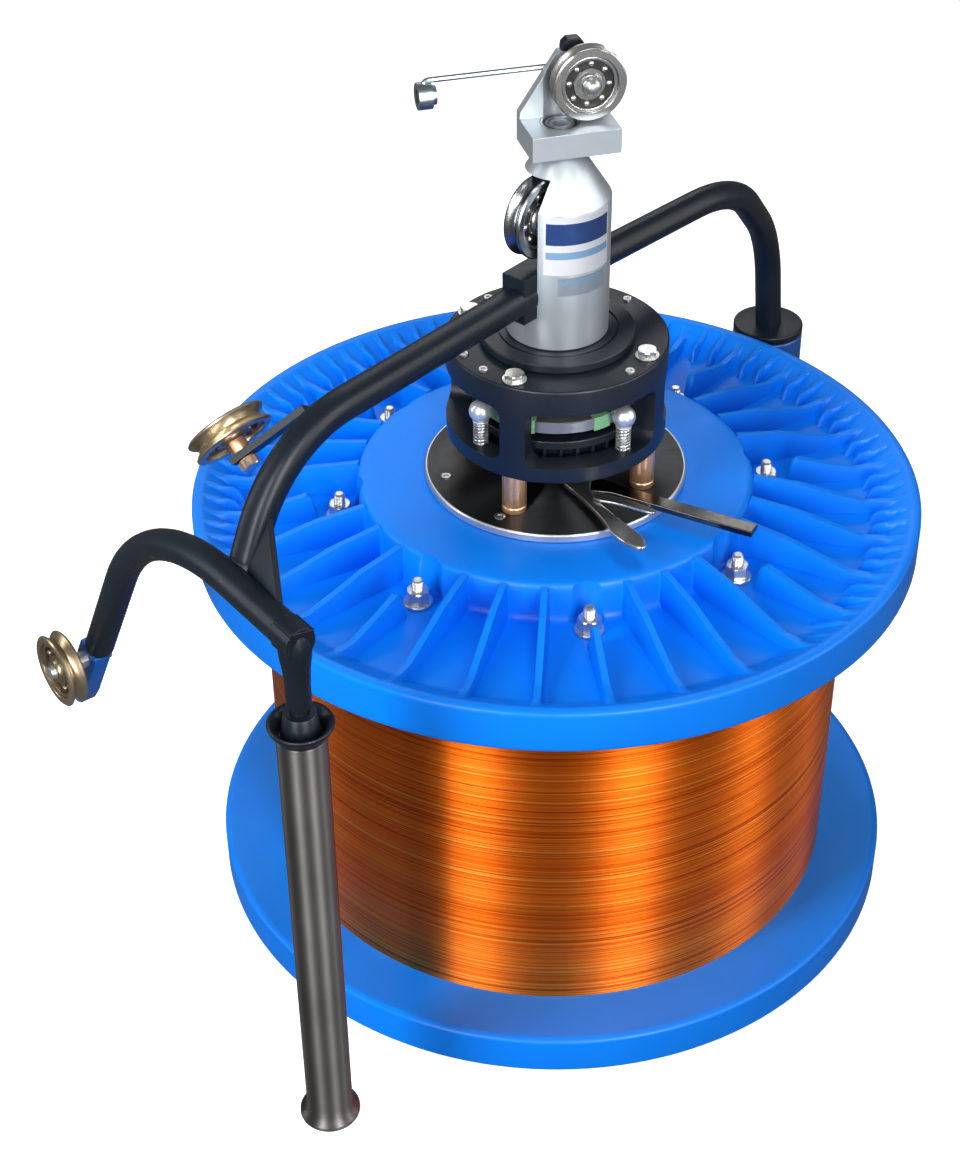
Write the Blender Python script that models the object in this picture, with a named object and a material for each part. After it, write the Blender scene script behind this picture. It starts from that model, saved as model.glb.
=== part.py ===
"""A flyer-type wire feeder standing on a spool of enamelled copper wire.

The spool stands on the floor. A brake unit is clamped on its upper flange, and a flyer turns on the
brake: a post with two bent arms, a long vertical guide roller, a counterweight and the guide pulleys
that lead the wire up through the post to a swivelling head.
Every sub-part is one object, in metres, +Z up. AXIS is the spool's axis in the row frame: the flyer
overhangs the spool unevenly, so the origin is under the middle of the footprint instead.
"""

import math

import bmesh
import bpy
from mathutils import Matrix, Vector

# ---------------------------------------------------------------- driving dimensions
GAP = 0.0003
AXIS = Vector((0.05953, 0.0300, 0.0))

# spool
FLANGE_R = 0.280
SPOOL_H = 0.358
BAND_H = 0.0335
WEB_INNER = 0.025
LIP_R = 0.272
SLOPE_FOOT_R = 0.246
FLOOR_DEPTH = 0.018
HUB_R = 0.152
HUB_RISE = 0.012
HUB_SKIN = 0.007
HUB_WALL_R = 0.168
BORE_R = 0.036
RIBS = 32
RIB_HALF_W = 0.003
RIB_FOOT_HALF_W = 0.0042
RIM_T = 0.004
BARREL_R = 0.182
BARREL_T = 0.006
WINDING_R = 0.230
BOLT_COUNT = 8
BOLT_CIRCLE_R = 0.167
BOLT_AZ = -81.0
NICHE_R = 0.0148

# brake unit
HUB_TOP = SPOOL_H + HUB_RISE
PLATE_R = 0.100
PLATE_T = 0.006
PLATE_Z = HUB_TOP + GAP
PLATE_TOP = PLATE_Z + PLATE_T
MANDREL_R = 0.030
SPINDLE_R = 0.008
PILLAR_R = 0.0092
PILLAR_CIRCLE_R = 0.072
PILLAR_AZ = (-114.5, -24.5, 65.5, 155.5)
SHANK_R = 0.004
HOLE_R = 0.0043
CAGE_R = 0.083
CAGE_INNER_R = 0.066
CAGE_Z = 0.4103
CAGE_TOP = 0.488
CAGE_FLOOR_T = 0.008
CAGE_ROOF_T = 0.010
WINDOW_Z = (0.423, 0.468)
WEB_HALF_W = 0.013
SHAFT_R = 0.018
DISC_R = 0.060
DISC_Z = (0.4385, 0.4480)
RING_Z = (0.4187, 0.4235, 0.4340)
RING_TEETH = 16
ADJUSTER_R = 0.074
ADJUSTER_AZ = (-138.0, -48.0, 42.0, 132.0)
SPRING_Z = (0.4233, 0.4430)
BALL_R = 0.0078

# flyer
CAP_R = 0.058
CAP_Z = CAGE_TOP + GAP
CAP_TOP = 0.495
POST_R = 0.0375
POST_Z = CAP_TOP + GAP
POST_SHOULDER_Z = 0.603
POST_TOP = 0.6377
POST_NECK_R = 0.0145
FLAT_OFFSET = 0.010
FLAT_Z = (0.520, 0.623)
ARM_BLOCK_Z = (0.5203, 0.556)
ARM_BLOCK_X = (-0.026, 0.050)
ARM_BLOCK_BACK = 0.011
BAR_Z = 0.536
TUBE_R = 0.011
LEFT_AZ = -128.2
RIGHT_AZ = 50.0
BRANCH_AZ = 129.0
ROLLER_POS = Vector((-0.1610, -0.3293, 0.0))
ROLLER_Z = (0.010, 0.3905)
ROLLER_R = 0.017
ROLLER_FLANGE_R = 0.0223
BRANCH_Z = 0.4587
WEIGHT_R = 0.030
WEIGHT_POS = Vector((0.1839, 0.2616, 0.0))
WEIGHT_Z = (0.230, 0.345)
WEIGHT_CAP_Z = (0.3453, 0.352)

# pulleys
PULLEY_R = 0.029
PULLEY_W = 0.014
TOP_PULLEY_R = 0.026
TOP_PULLEY_W = 0.013
LUG_LENGTH = 0.085
GUIDE_HUB_OUT = 0.030
MID_HUB_OUT = 0.0175
MID_ROOT = Vector((-0.148, -0.177, 0.5452))
MID_TIP = Vector((-0.20618, -0.19076, 0.50361))
MID_OUT = Vector((-0.5707, 0.5374, 0.6207))
PIN_R = 0.004
POST_PULLEY = (0.025, 0.5934)

# head
HEAD_AZ = 17.0
HEAD_BLOCK_X = (-0.026, 0.038)
HEAD_BLOCK_Y = (-0.022, 0.019)
HEAD_BLOCK_Z = (0.638, 0.656)
HEAD_PLATE_Y = (0.011, 0.019)
HEAD_PLATE_TOP = 0.702
KEEPER_TOP = 0.7105
BEARING_R = 0.014
BEARING_T = 0.008
SPIGOT_R = 0.008
WIRE_BORE_R = 0.0055
TOP_PULLEY_POS = Vector((0.019, -0.002, 0.6835))
ROD_R = 0.0021
ROD_Z = 0.688
EYELET_X = (-0.096, -0.086)
EYELET_Z = 0.677
EYELET_R = 0.0095
EYELET_BORE_R = 0.005


# ---------------------------------------------------------------- helpers
def clear_scene():
    for obj in list(bpy.data.objects):
        bpy.data.objects.remove(obj, do_unlink=True)


def material(name, color, metallic, roughness):
    """One Principled material."""
    found = bpy.data.materials.new(name)
    found.use_nodes = True
    shader = found.node_tree.nodes["Principled BSDF"]
    shader.inputs["Base Color"].default_value = (*color, 1.0)
    shader.inputs["Metallic"].default_value = metallic
    shader.inputs["Roughness"].default_value = roughness
    return found


def polar(radius, az, z=0.0):
    """A point at an azimuth in degrees about the spool axis."""
    angle = math.radians(az)
    return Vector((radius * math.cos(angle), radius * math.sin(angle), z))


def turned(axis, spin_z=0.0):
    """The rotation that takes local +Z onto an axis."""
    return Vector((0.0, 0.0, 1.0)).rotation_difference(axis).to_matrix().to_4x4() @ Matrix.Rotation(
        spin_z, 4, "Z"
    )


def add(name, verts, faces, finish=None, matrix=None):
    """One mesh object with its faces turned outwards."""
    mesh = bpy.data.meshes.new(name)
    mesh.from_pydata([tuple(v) for v in verts], [], faces)
    shape = bmesh.new()
    shape.from_mesh(mesh)
    bmesh.ops.remove_doubles(shape, verts=shape.verts, dist=1e-6)
    bmesh.ops.recalc_face_normals(shape, faces=shape.faces)
    shape.to_mesh(mesh)
    shape.free()
    obj = bpy.data.objects.new(name, mesh)
    bpy.context.scene.collection.objects.link(obj)
    if finish is not None:
        mesh.materials.append(finish)
    if matrix is not None:
        obj.matrix_world = matrix
    return obj


def revolve(name, profile, segments=32, finish=None, matrix=None):
    """A solid of revolution about local Z from a closed (r, z) profile.

    Points on the axis are single vertices, so a profile may start and end at r = 0.
    """
    verts = []
    rings = []
    for r, z in profile:
        if r < 1e-7:
            rings.append([len(verts)] * segments)
            verts.append(Vector((0.0, 0.0, z)))
            continue
        rings.append(list(range(len(verts), len(verts) + segments)))
        for k in range(segments):
            angle = 2.0 * math.pi * k / segments
            verts.append(Vector((r * math.cos(angle), r * math.sin(angle), z)))
    faces = []
    for j in range(len(profile)):
        low = rings[j]
        high = rings[(j + 1) % len(profile)]
        if low[0] == low[1] and high[0] == high[1]:
            continue
        for k in range(segments):
            n = (k + 1) % segments
            corner = [low[k], low[n], high[n], high[k]]
            faces.append(list(dict.fromkeys(corner)))
    return add(name, verts, faces, finish, matrix)


def prism(name, outline, z0, z1, finish=None, matrix=None):
    """A flat outline extruded along local Z."""
    count = len(outline)
    verts = [Vector((x, y, z0)) for x, y in outline]
    verts += [Vector((x, y, z1)) for x, y in outline]
    faces = [list(range(count)), list(range(count, 2 * count))]
    for k in range(count):
        n = (k + 1) % count
        faces.append([k, n, count + n, count + k])
    return add(name, verts, faces, finish, matrix)


def box(name, x, y, z, finish=None, matrix=None):
    """A block between two values on each axis."""
    outline = [(x[0], y[0]), (x[1], y[0]), (x[1], y[1]), (x[0], y[1])]
    return prism(name, outline, z[0], z[1], finish, matrix)


def circle(radius, segments, start=0.0):
    """Points round a circle in the XY plane."""
    return [
        (
            radius * math.cos(start + 2.0 * math.pi * k / segments),
            radius * math.sin(start + 2.0 * math.pi * k / segments),
        )
        for k in range(segments)
    ]


def rod(name, start, end, radius, segments=12, finish=None):
    """A round bar between two points."""
    along = end - start
    matrix = Matrix.Translation(start) @ turned(along)
    return prism(name, circle(radius, segments), 0.0, along.length, finish, matrix)


def rounded_path(corners, radius, steps):
    """A path through corners, each inner one replaced by an arc."""
    path = [corners[0]]
    for before, corner, after in zip(corners, corners[1:], corners[2:]):
        back = (before - corner).normalized()
        ahead = (after - corner).normalized()
        half = 0.5 * math.pi - 0.5 * back.angle(ahead)
        reach = radius * math.tan(half)
        centre = corner + (back + ahead).normalized() * radius / math.cos(half)
        first = corner + back * reach - centre
        last = corner + ahead * reach - centre
        axis = first.cross(last)
        for k in range(steps + 1):
            turn = Matrix.Rotation(first.angle(last) * k / steps, 3, axis)
            path.append(centre + turn @ first)
    path.append(corners[-1])
    return path


def sweep(name, path, radius, segments, finish=None, matrix=None):
    """A closed tube of constant radius along a path, without twist."""
    verts = []
    faces = []
    ahead = (path[1] - path[0]).normalized()
    side = ahead.orthogonal().normalized()
    for k, point in enumerate(path):
        before = (point - path[k - 1]).normalized() if k else ahead
        after = (path[k + 1] - point).normalized() if k + 1 < len(path) else before
        ahead = (before + after).normalized()
        side = (side - ahead * side.dot(ahead)).normalized()
        across = ahead.cross(side)
        for j in range(segments):
            angle = 2.0 * math.pi * j / segments
            verts.append(point + radius * (math.cos(angle) * side + math.sin(angle) * across))
    for k in range(len(path) - 1):
        for j in range(segments):
            n = (j + 1) % segments
            a = k * segments
            b = a + segments
            faces.append([a + j, a + n, b + n, b + j])
    faces.append(list(range(segments)))
    faces.append(list(range(len(verts) - segments, len(verts))))
    return add(name, verts, faces, finish, matrix)


def combine(target, tools, operation):
    """Cut or join other solids into one, then drop them."""
    for tool in tools:
        change = target.modifiers.new(operation.title(), "BOOLEAN")
        change.operation = operation
        change.solver = "EXACT"
        change.object = tool
    bpy.context.view_layer.update()
    graph = bpy.context.evaluated_depsgraph_get()
    shape = bmesh.new()
    shape.from_object(target, graph)
    target.modifiers.clear()
    for tool in tools:
        bpy.data.objects.remove(tool, do_unlink=True)
    bmesh.ops.remove_doubles(shape, verts=shape.verts, dist=2e-6)
    bmesh.ops.dissolve_degenerate(shape, edges=shape.edges, dist=2e-6)
    bmesh.ops.triangulate(shape, faces=shape.faces)
    shape.to_mesh(target.data)
    shape.free()
    return target


def cut(target, *tools):
    return combine(target, tools, "DIFFERENCE")


def join(target, *tools):
    return combine(target, tools, "UNION")


def bored_cutters(points, radius, z0, z1, segments=8):
    """Upright round cutters at a set of points."""
    return [
        prism(f"cut_{k}", circle(radius, segments), z0, z1, None, Matrix.Translation(point))
        for k, point in enumerate(points)
    ]


# ---------------------------------------------------------------- spool
def rib_height(r):
    """The main ribs' top above the flange's outer plane: high at the hub, a dip, then up to the rim."""
    knots = (
        (HUB_R, HUB_RISE),
        (0.190, 0.007),
        (0.240, -0.009),
        (LIP_R, -0.001),
    )
    for (r0, z0), (r1, z1) in zip(knots, knots[1:]):
        if r <= r1:
            return z0 + (z1 - z0) * (r - r0) / (r1 - r0)
    return knots[-1][1]


def upper_flange(finish):
    """The upper flange: hub disc, dished floor with radial ribs, rim and outer band."""
    rows = (HUB_R, HUB_WALL_R, 0.190, 0.240, LIP_R)
    offsets = (-RIB_FOOT_HALF_W, -RIB_HALF_W, RIB_HALF_W, RIB_FOOT_HALF_W)
    shell = (
        (FLANGE_R, 0.0),
        (FLANGE_R, -BAND_H),
        (FLANGE_R - RIM_T, -BAND_H),
        (FLANGE_R - RIM_T, -WEB_INNER),
        (HUB_R - 0.0085, -WEB_INNER),
        (HUB_R - 0.0145, HUB_RISE - HUB_SKIN),
        (BORE_R, HUB_RISE - HUB_SKIN),
        (BORE_R, HUB_RISE),
    )
    verts = []
    faces = []
    ribbed = []
    for r in rows:
        floor = HUB_RISE if r <= HUB_R else -FLOOR_DEPTH
        if r > SLOPE_FOOT_R:
            floor *= (LIP_R - r) / (LIP_R - SLOPE_FOOT_R)
        ring = []
        for k in range(RIBS):
            az = math.radians(BOLT_AZ + k * 360.0 / RIBS)
            side = Vector((-math.sin(az), math.cos(az), 0.0))
            cleared = k % (RIBS // BOLT_COUNT) == 0 and r < 0.189
            for offset in offsets:
                on_rib = abs(offset) == RIB_HALF_W and HUB_R < r < LIP_R and not cleared
                along = math.sqrt(r * r - offset * offset)
                height = rib_height(r) if on_rib else floor
                ring.append(len(verts))
                point = Vector((math.cos(az), math.sin(az), 0.0)) * along + side * offset
                verts.append(point + Vector((0.0, 0.0, SPOOL_H + height)))
        ribbed.append(ring)
    plain = []
    for r, z in shell:
        plain.append(list(range(len(verts), len(verts) + 2 * RIBS)))
        verts += [polar(r, BOLT_AZ + k * 180.0 / RIBS, SPOOL_H + z) for k in range(2 * RIBS)]
    for rings in (ribbed, plain):
        for low, high in zip(rings, rings[1:]):
            for k in range(len(low)):
                n = (k + 1) % len(low)
                faces.append([low[k], low[n], high[n]])
                faces.append([low[k], high[n], high[k]])
    for fine, coarse in ((ribbed[0], plain[-1]), (ribbed[-1], plain[0])):
        for k in range(RIBS):
            here = coarse[2 * k]
            between = coarse[2 * k + 1]
            beyond = coarse[(2 * k + 2) % (2 * RIBS)]
            a, b, c, d = fine[4 * k : 4 * k + 4]
            following = fine[(4 * k + 4) % (4 * RIBS)]
            faces += [[here, a, b], [here, b, c], [here, c, d], [here, d, between]]
            faces += [[between, d, following], [between, following, beyond]]
    flange = add("spool_flange_upper", verts, faces, finish)
    holes = [polar(BOLT_CIRCLE_R, BOLT_AZ + 45.0 * k) for k in range(BOLT_COUNT)]
    seat = SPOOL_H - FLOOR_DEPTH + 0.0001
    cut(flange, *bored_cutters(holes, NICHE_R, seat, SPOOL_H + 0.03, 12))
    return cut(flange, *bored_cutters(holes, HOLE_R, SPOOL_H - 0.04, SPOOL_H - 0.01, 6))


def lower_flange(finish):
    """The lower flange: it stands on its rim and its flat hub disc."""
    profile = [
        (BORE_R, 0.0),
        (HUB_R, 0.0),
        (HUB_R + 0.003, FLOOR_DEPTH),
        (SLOPE_FOOT_R, FLOOR_DEPTH),
        (LIP_R, 0.001),
        (LIP_R + 0.001, 0.0),
        (FLANGE_R, 0.0),
        (FLANGE_R, BAND_H),
        (FLANGE_R - RIM_T, BAND_H),
        (FLANGE_R - RIM_T, WEB_INNER),
        (HUB_R, WEB_INNER),
        (HUB_R - HUB_SKIN, HUB_SKIN),
        (BORE_R, HUB_SKIN),
    ]
    flange = revolve("spool_flange_lower", profile, 48, finish)
    holes = [polar(BOLT_CIRCLE_R, BOLT_AZ + 45.0 * k) for k in range(BOLT_COUNT)]
    return cut(flange, *bored_cutters(holes, HOLE_R, 0.010, 0.035, 6))


def spool_core(plastic, copper):
    """The barrel between the flanges and the winding on it."""
    low = WEB_INNER + GAP
    high = SPOOL_H - WEB_INNER - GAP
    inner = BARREL_R - BARREL_T
    revolve("spool_barrel", [(inner, low), (BARREL_R, low), (BARREL_R, high), (inner, high)], 48, plastic)
    inner = BARREL_R + GAP
    profile = [(inner, low), (WINDING_R, low), (WINDING_R, high), (inner, high)]
    revolve("copper_winding", profile, 48, copper)


def tie_bolts(finish):
    """Eight tie bolts through both flanges, with a nut and washer at each end."""
    top = SPOOL_H - FLOOR_DEPTH + GAP
    foot = FLOOR_DEPTH - GAP
    for k in range(BOLT_COUNT):
        matrix = Matrix.Translation(polar(BOLT_CIRCLE_R, BOLT_AZ + 45.0 * k))
        profile = [
            (0.0, foot - 0.012),
            (0.0068, foot - 0.012),
            (0.0068, foot - 0.003),
            (0.0100, foot - 0.003),
            (0.0100, foot),
            (SHANK_R, foot),
            (SHANK_R, top),
            (0.0105, top),
            (0.0105, top + 0.003),
            (0.0068, top + 0.003),
            (0.0068, top + 0.012),
            (SHANK_R, top + 0.012),
            (SHANK_R, top + 0.021),
            (0.0, top + 0.021),
        ]
        revolve(f"tie_bolt_{k + 1}", profile, 6, finish, matrix)


# ---------------------------------------------------------------- brake unit
def hub_plate(finish):
    """The steel disc on the spool's hub, tapped for the pillar bolts."""
    bore = MANDREL_R + GAP
    profile = [(bore, PLATE_Z), (PLATE_R, PLATE_Z), (PLATE_R, PLATE_TOP), (bore, PLATE_TOP)]
    plate = revolve("hub_plate", profile, 40, finish)
    holes = [polar(PILLAR_CIRCLE_R, az) for az in PILLAR_AZ]
    cut(plate, *bored_cutters(holes, HOLE_R, PLATE_Z - 0.01, PLATE_TOP + 0.01))


def mandrel(finish):
    """The mandrel in the spool's bore, with the spindle that the brake stands on."""
    profile = [
        (0.0, 0.300),
        (MANDREL_R - 0.003, 0.300),
        (MANDREL_R, 0.303),
        (MANDREL_R, PLATE_TOP),
        (SPINDLE_R, PLATE_TOP + 0.002),
        (SPINDLE_R, CAGE_Z - GAP),
        (0.0, CAGE_Z - GAP),
    ]
    revolve("mandrel", profile, 20, finish)


def pillars(bronze, zinc):
    """Four bronze sleeves between plate and cage, and the long hex bolts that pass through them."""
    for k, az in enumerate(PILLAR_AZ):
        matrix = Matrix.Translation(polar(PILLAR_CIRCLE_R, az))
        low = PLATE_TOP + GAP
        high = CAGE_Z - GAP
        profile = [(HOLE_R, low), (PILLAR_R, low), (PILLAR_R, high), (HOLE_R, high)]
        revolve(f"pillar_{k + 1}", profile, 16, bronze, matrix)
        head = CAGE_TOP + GAP
        bolt = prism(f"cage_bolt_{k + 1}", circle(0.0075, 6), head, head + 0.0055, zinc, matrix)
        shank = prism("shank", circle(SHANK_R, 8), PLATE_Z + 0.001, head + 0.002, None, matrix)
        join(bolt, shank)


def cage(finish):
    """The brake housing: a drum with four windows between its webs."""
    profile = [
        (0.0125, CAGE_Z),
        (CAGE_R, CAGE_Z),
        (CAGE_R, CAGE_TOP),
        (SHAFT_R + GAP, CAGE_TOP),
        (SHAFT_R + GAP, CAGE_TOP - CAGE_ROOF_T),
        (CAGE_INNER_R, CAGE_TOP - CAGE_ROOF_T),
        (CAGE_INNER_R, CAGE_Z + CAGE_FLOOR_T),
        (0.0125, CAGE_Z + CAGE_FLOOR_T),
    ]
    drum = revolve("brake_cage", profile, 32, finish)
    low, high = WINDOW_Z
    for pillar_az in PILLAR_AZ:
        reach = CAGE_R * 1.3
        half = 0.5 * (math.pi / 2.0) - math.asin(WEB_HALF_W / CAGE_R)
        middle = math.radians(pillar_az + 45.0)
        outline = [(0.0, 0.0)]
        for step in range(3):
            angle = middle + half * (step - 1.0)
            outline.append((reach * math.cos(angle), reach * math.sin(angle)))
        cut(drum, prism("window", outline, low, high))
    shanks = bored_cutters([polar(PILLAR_CIRCLE_R, az) for az in PILLAR_AZ], HOLE_R, 0.40, 0.50)
    screws = bored_cutters([polar(ADJUSTER_R, az) for az in ADJUSTER_AZ], 0.0029, 0.40, 0.43)
    cut(drum, *shanks)
    cut(drum, *screws)


def brake_ring(finish):
    """The castellated pressure ring under the brake disc."""
    low, web, high = RING_Z
    teeth = []
    for k in range(RING_TEETH):
        start = 360.0 * k / RING_TEETH
        teeth.append(polar(0.0635, start - 6.0)[:2])
        teeth.append(polar(0.0635, start + 6.0)[:2])
        teeth.append(polar(0.0575, start + 6.5)[:2])
        teeth.append(polar(0.0575, start + 16.0)[:2])
    ring = prism("pressure_ring", teeth, low, high, finish)
    eye = prism("eye", circle(0.0215, 16), low - 0.01, high + 0.01)
    dish = prism("dish", circle(0.050, 20), web, high + 0.01)
    cut(ring, eye)
    cut(ring, dish)


def adjusters(steel, spring_steel):
    """Four ball-headed screws, each on its own compression spring."""
    for k, az in enumerate(ADJUSTER_AZ):
        matrix = Matrix.Translation(polar(ADJUSTER_R, az))
        centre = SPRING_Z[1] + GAP + BALL_R
        profile = [(0.0, 0.4145), (0.0025, 0.4145), (0.0025, centre - BALL_R * 0.93)]
        for step in range(1, 5):
            angle = math.radians(-90.0 + 36.0 * step)
            profile.append((BALL_R * math.cos(angle), centre + BALL_R * math.sin(angle)))
        profile.append((0.0, centre + BALL_R))
        revolve(f"adjuster_screw_{k + 1}", profile, 10, steel, matrix)
        turns = 4
        steps = 6
        wire = 0.0008
        low, high = SPRING_Z
        path = []
        for step in range(turns * steps + 1):
            t = step / (turns * steps)
            angle = 2.0 * math.pi * turns * t
            rise = low + wire + (high - low - 2.0 * wire) * t
            path.append(Vector((0.0043 * math.cos(angle), 0.0043 * math.sin(angle), rise)))
        sweep(f"adjuster_spring_{k + 1}", path, wire, 4, spring_steel, matrix)


# ---------------------------------------------------------------- pliers
def pliers(chrome, dark):
    """Locking pliers that hold the spindle: u runs along the fixed handle, v across it."""
    frame = Matrix.Rotation(math.radians(-26.1), 4, "Z")
    z0 = PLATE_TOP + 0.0032
    body_outline = [
        (0.174, -0.018),
        (0.070, -0.018),
        (0.050, -0.016),
        (0.036, -0.020),
        (0.020, -0.0245),
        (-0.0125, -0.0045),
        (-0.022, 0.0035),
        (-0.025, -0.0005),
        (-0.014, -0.0095),
        (0.004, -0.0205),
        (0.026, -0.038),
        (0.036, -0.038),
        (0.062, -0.030),
        (0.174, -0.030),
    ]
    body = prism("pliers_body", body_outline, z0, z0 + 0.005, dark, frame)
    pin = prism("pin", circle(0.003, 12), z0 + 0.004, z0 + 0.0125, None, frame @ pivot_at(0.032, -0.030))
    join(body, pin)
    handle_outline = [
        (-0.008, 0.020),
        (0.0, 0.013),
        (0.024, -0.015),
        (0.0225, -0.034),
        (0.030, -0.042),
        (0.062, -0.060),
        (0.092, -0.084),
        (0.110, -0.090),
        (0.116, -0.088),
        (0.114, -0.082),
        (0.100, -0.072),
        (0.072, -0.056),
        (0.046, -0.034),
        (0.041, -0.022),
        (0.016, 0.011),
        (-0.004, 0.024),
    ]
    pivot = (0.032, -0.030)
    local = [(u - pivot[0], v - pivot[1]) for u, v in handle_outline]
    at = frame @ pivot_at(*pivot)
    handle = prism("pliers_handle", local, z0 + 0.0053, z0 + 0.0100, chrome, at)
    hole = prism("hole", circle(0.0033, 12), z0, z0 + 0.02, None, at)
    cut(handle, hole)
    lever_pivot = (0.060, -0.049)
    lever_outline = [
        (-0.004, 0.0),
        (0.0, 0.004),
        (0.012, 0.006),
        (0.042, 0.004),
        (0.046, 0.001),
        (0.042, -0.002),
        (0.0, -0.004),
    ]
    at = frame @ pivot_at(*lever_pivot)
    lever = prism("pliers_release_lever", lever_outline, z0 + 0.0103, z0 + 0.0128, chrome, at)
    return body, handle, lever


def pivot_at(u, v):
    return Matrix.Translation(Vector((u, v, 0.0)))


# ---------------------------------------------------------------- flyer
def rotor(steel, black):
    """The flyer's shaft with its brake disc, and the cap that the post stands on."""
    profile = [
        (0.0, 0.4125),
        (0.012, 0.4125),
        (0.012, 0.4190),
        (SHAFT_R, 0.4190),
        (SHAFT_R, DISC_Z[0]),
        (DISC_R, DISC_Z[0]),
        (DISC_R, DISC_Z[1]),
        (SHAFT_R, DISC_Z[1]),
        (SHAFT_R, CAP_Z - GAP),
        (0.0, CAP_Z - GAP),
    ]
    revolve("brake_rotor", profile, 28, steel)
    profile = [
        (0.0, CAP_Z),
        (CAP_R, CAP_Z),
        (CAP_R, CAP_TOP),
        (0.0, CAP_TOP),
    ]
    revolve("rotor_cap", profile, 32, black)


def post(finish):
    """The post: a column milled to a flat for the arms and the pulley, with the wire's way up its axis."""
    profile = [
        (0.0, POST_Z),
        (POST_R, POST_Z),
        (POST_R, POST_SHOULDER_Z),
        (POST_NECK_R, POST_TOP),
        (SPIGOT_R, POST_TOP),
        (SPIGOT_R, 0.655),
        (0.0, 0.655),
    ]
    column = revolve("post", profile, 32, finish)
    frame = Matrix.Rotation(math.radians(LEFT_AZ), 4, "Z")
    flat = box("flat", (-0.06, 0.06), (-0.06, FLAT_OFFSET), FLAT_Z, None, frame)
    bore = prism("bore", circle(WIRE_BORE_R, 12), 0.60, 0.70)
    radius, height = POST_PULLEY
    tapped = prism("tapped", circle(HOLE_R, 12), 0.0, 0.024, None, side_frame(radius, height))
    cut(column, flat)
    cut(column, bore)
    cut(column, tapped)


def post_bolt(steel):
    """The bolt that holds the post's pulley to the flat."""
    half = 0.5 * PULLEY_W
    radius, height = POST_PULLEY
    profile = [
        (0.0, -half - 0.0060),
        (0.0065, -half - 0.0060),
        (0.0065, -half - GAP),
        (PIN_R, -half - GAP),
        (PIN_R, half + GAP),
        (0.0062, half + GAP),
        (0.0062, FLAT_OFFSET - GAP),
        (PIN_R, FLAT_OFFSET - GAP),
        (PIN_R, 0.0230),
        (0.0, 0.0230),
    ]
    revolve("post_bolt", profile, 12, steel, side_frame(radius, height))


def side_frame(radius, height):
    """A frame at the slot pulley, its Z along the pulley's axis."""
    axis = polar(1.0, LEFT_AZ + 90.0)
    return Matrix.Translation(polar(radius, LEFT_AZ, height)) @ turned(axis)


def plane_point(az, s, z, start=Vector((0.0, 0.0, 0.0))):
    """A point s along an azimuth from a start, at height z."""
    point = start + polar(s, az)
    return Vector((point.x, point.y, z))


def left_arm(black):
    """The welded left arm: block, bent tube, cross tube, gusset and the roller's shaft."""
    frame = Matrix.Rotation(math.radians(LEFT_AZ), 4, "Z")
    arm = box("arm_left", ARM_BLOCK_X, (-ARM_BLOCK_BACK, FLAT_OFFSET - GAP), ARM_BLOCK_Z, black, frame)
    corners = [
        plane_point(LEFT_AZ, 0.040, BAR_Z),
        plane_point(LEFT_AZ, 0.287, BAR_Z),
        plane_point(LEFT_AZ, 0.330, 0.448),
    ]
    main = sweep("main", rounded_path(corners, 0.096, 6), TUBE_R, 12)
    branch = sweep("branch", rounded_path(branch_path(), 0.190, 7), TUBE_R, 12)
    low = Vector((0.0, 0.0, 0.010))
    middle = Vector((0.0, 0.0, 0.404))
    stub = rod("stub", ROLLER_POS + middle, ROLLER_POS + Vector((0.0, 0.0, BRANCH_Z)), 0.0085, 12)
    shaft = rod("shaft", ROLLER_POS + low, ROLLER_POS + middle * 1.01, 0.006, 10)
    high = plane_point(LEFT_AZ, 0.300, 0.500)
    foot = plane_point(LEFT_AZ, 0.328, BRANCH_Z)
    near = plane_point(BRANCH_AZ, 0.012, BRANCH_Z, ROLLER_POS)
    gusset = plate_between("gusset", (high, foot, near), 0.005)
    join(arm, main)
    join(arm, branch)
    join(arm, stub)
    join(arm, shaft)
    join(arm, gusset)
    return arm


def plate_between(name, corners, thickness):
    """A flat triangular plate with its middle plane through three points."""
    a, b, c = corners
    offset = (b - a).cross(c - a).normalized() * 0.5 * thickness
    verts = [p - offset for p in corners] + [p + offset for p in corners]
    faces = [(0, 1, 2), (3, 4, 5), (0, 1, 4, 3), (1, 2, 5, 4), (2, 0, 3, 5)]
    return add(name, verts, faces)


def branch_path():
    """The cross tube: level from the roller, then bent down to the lower pulley."""
    return [
        plane_point(BRANCH_AZ, -0.010, BRANCH_Z, ROLLER_POS),
        plane_point(BRANCH_AZ, 0.186, BRANCH_Z, ROLLER_POS),
        plane_point(BRANCH_AZ, 0.2965, 0.2665, ROLLER_POS),
    ]


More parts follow.
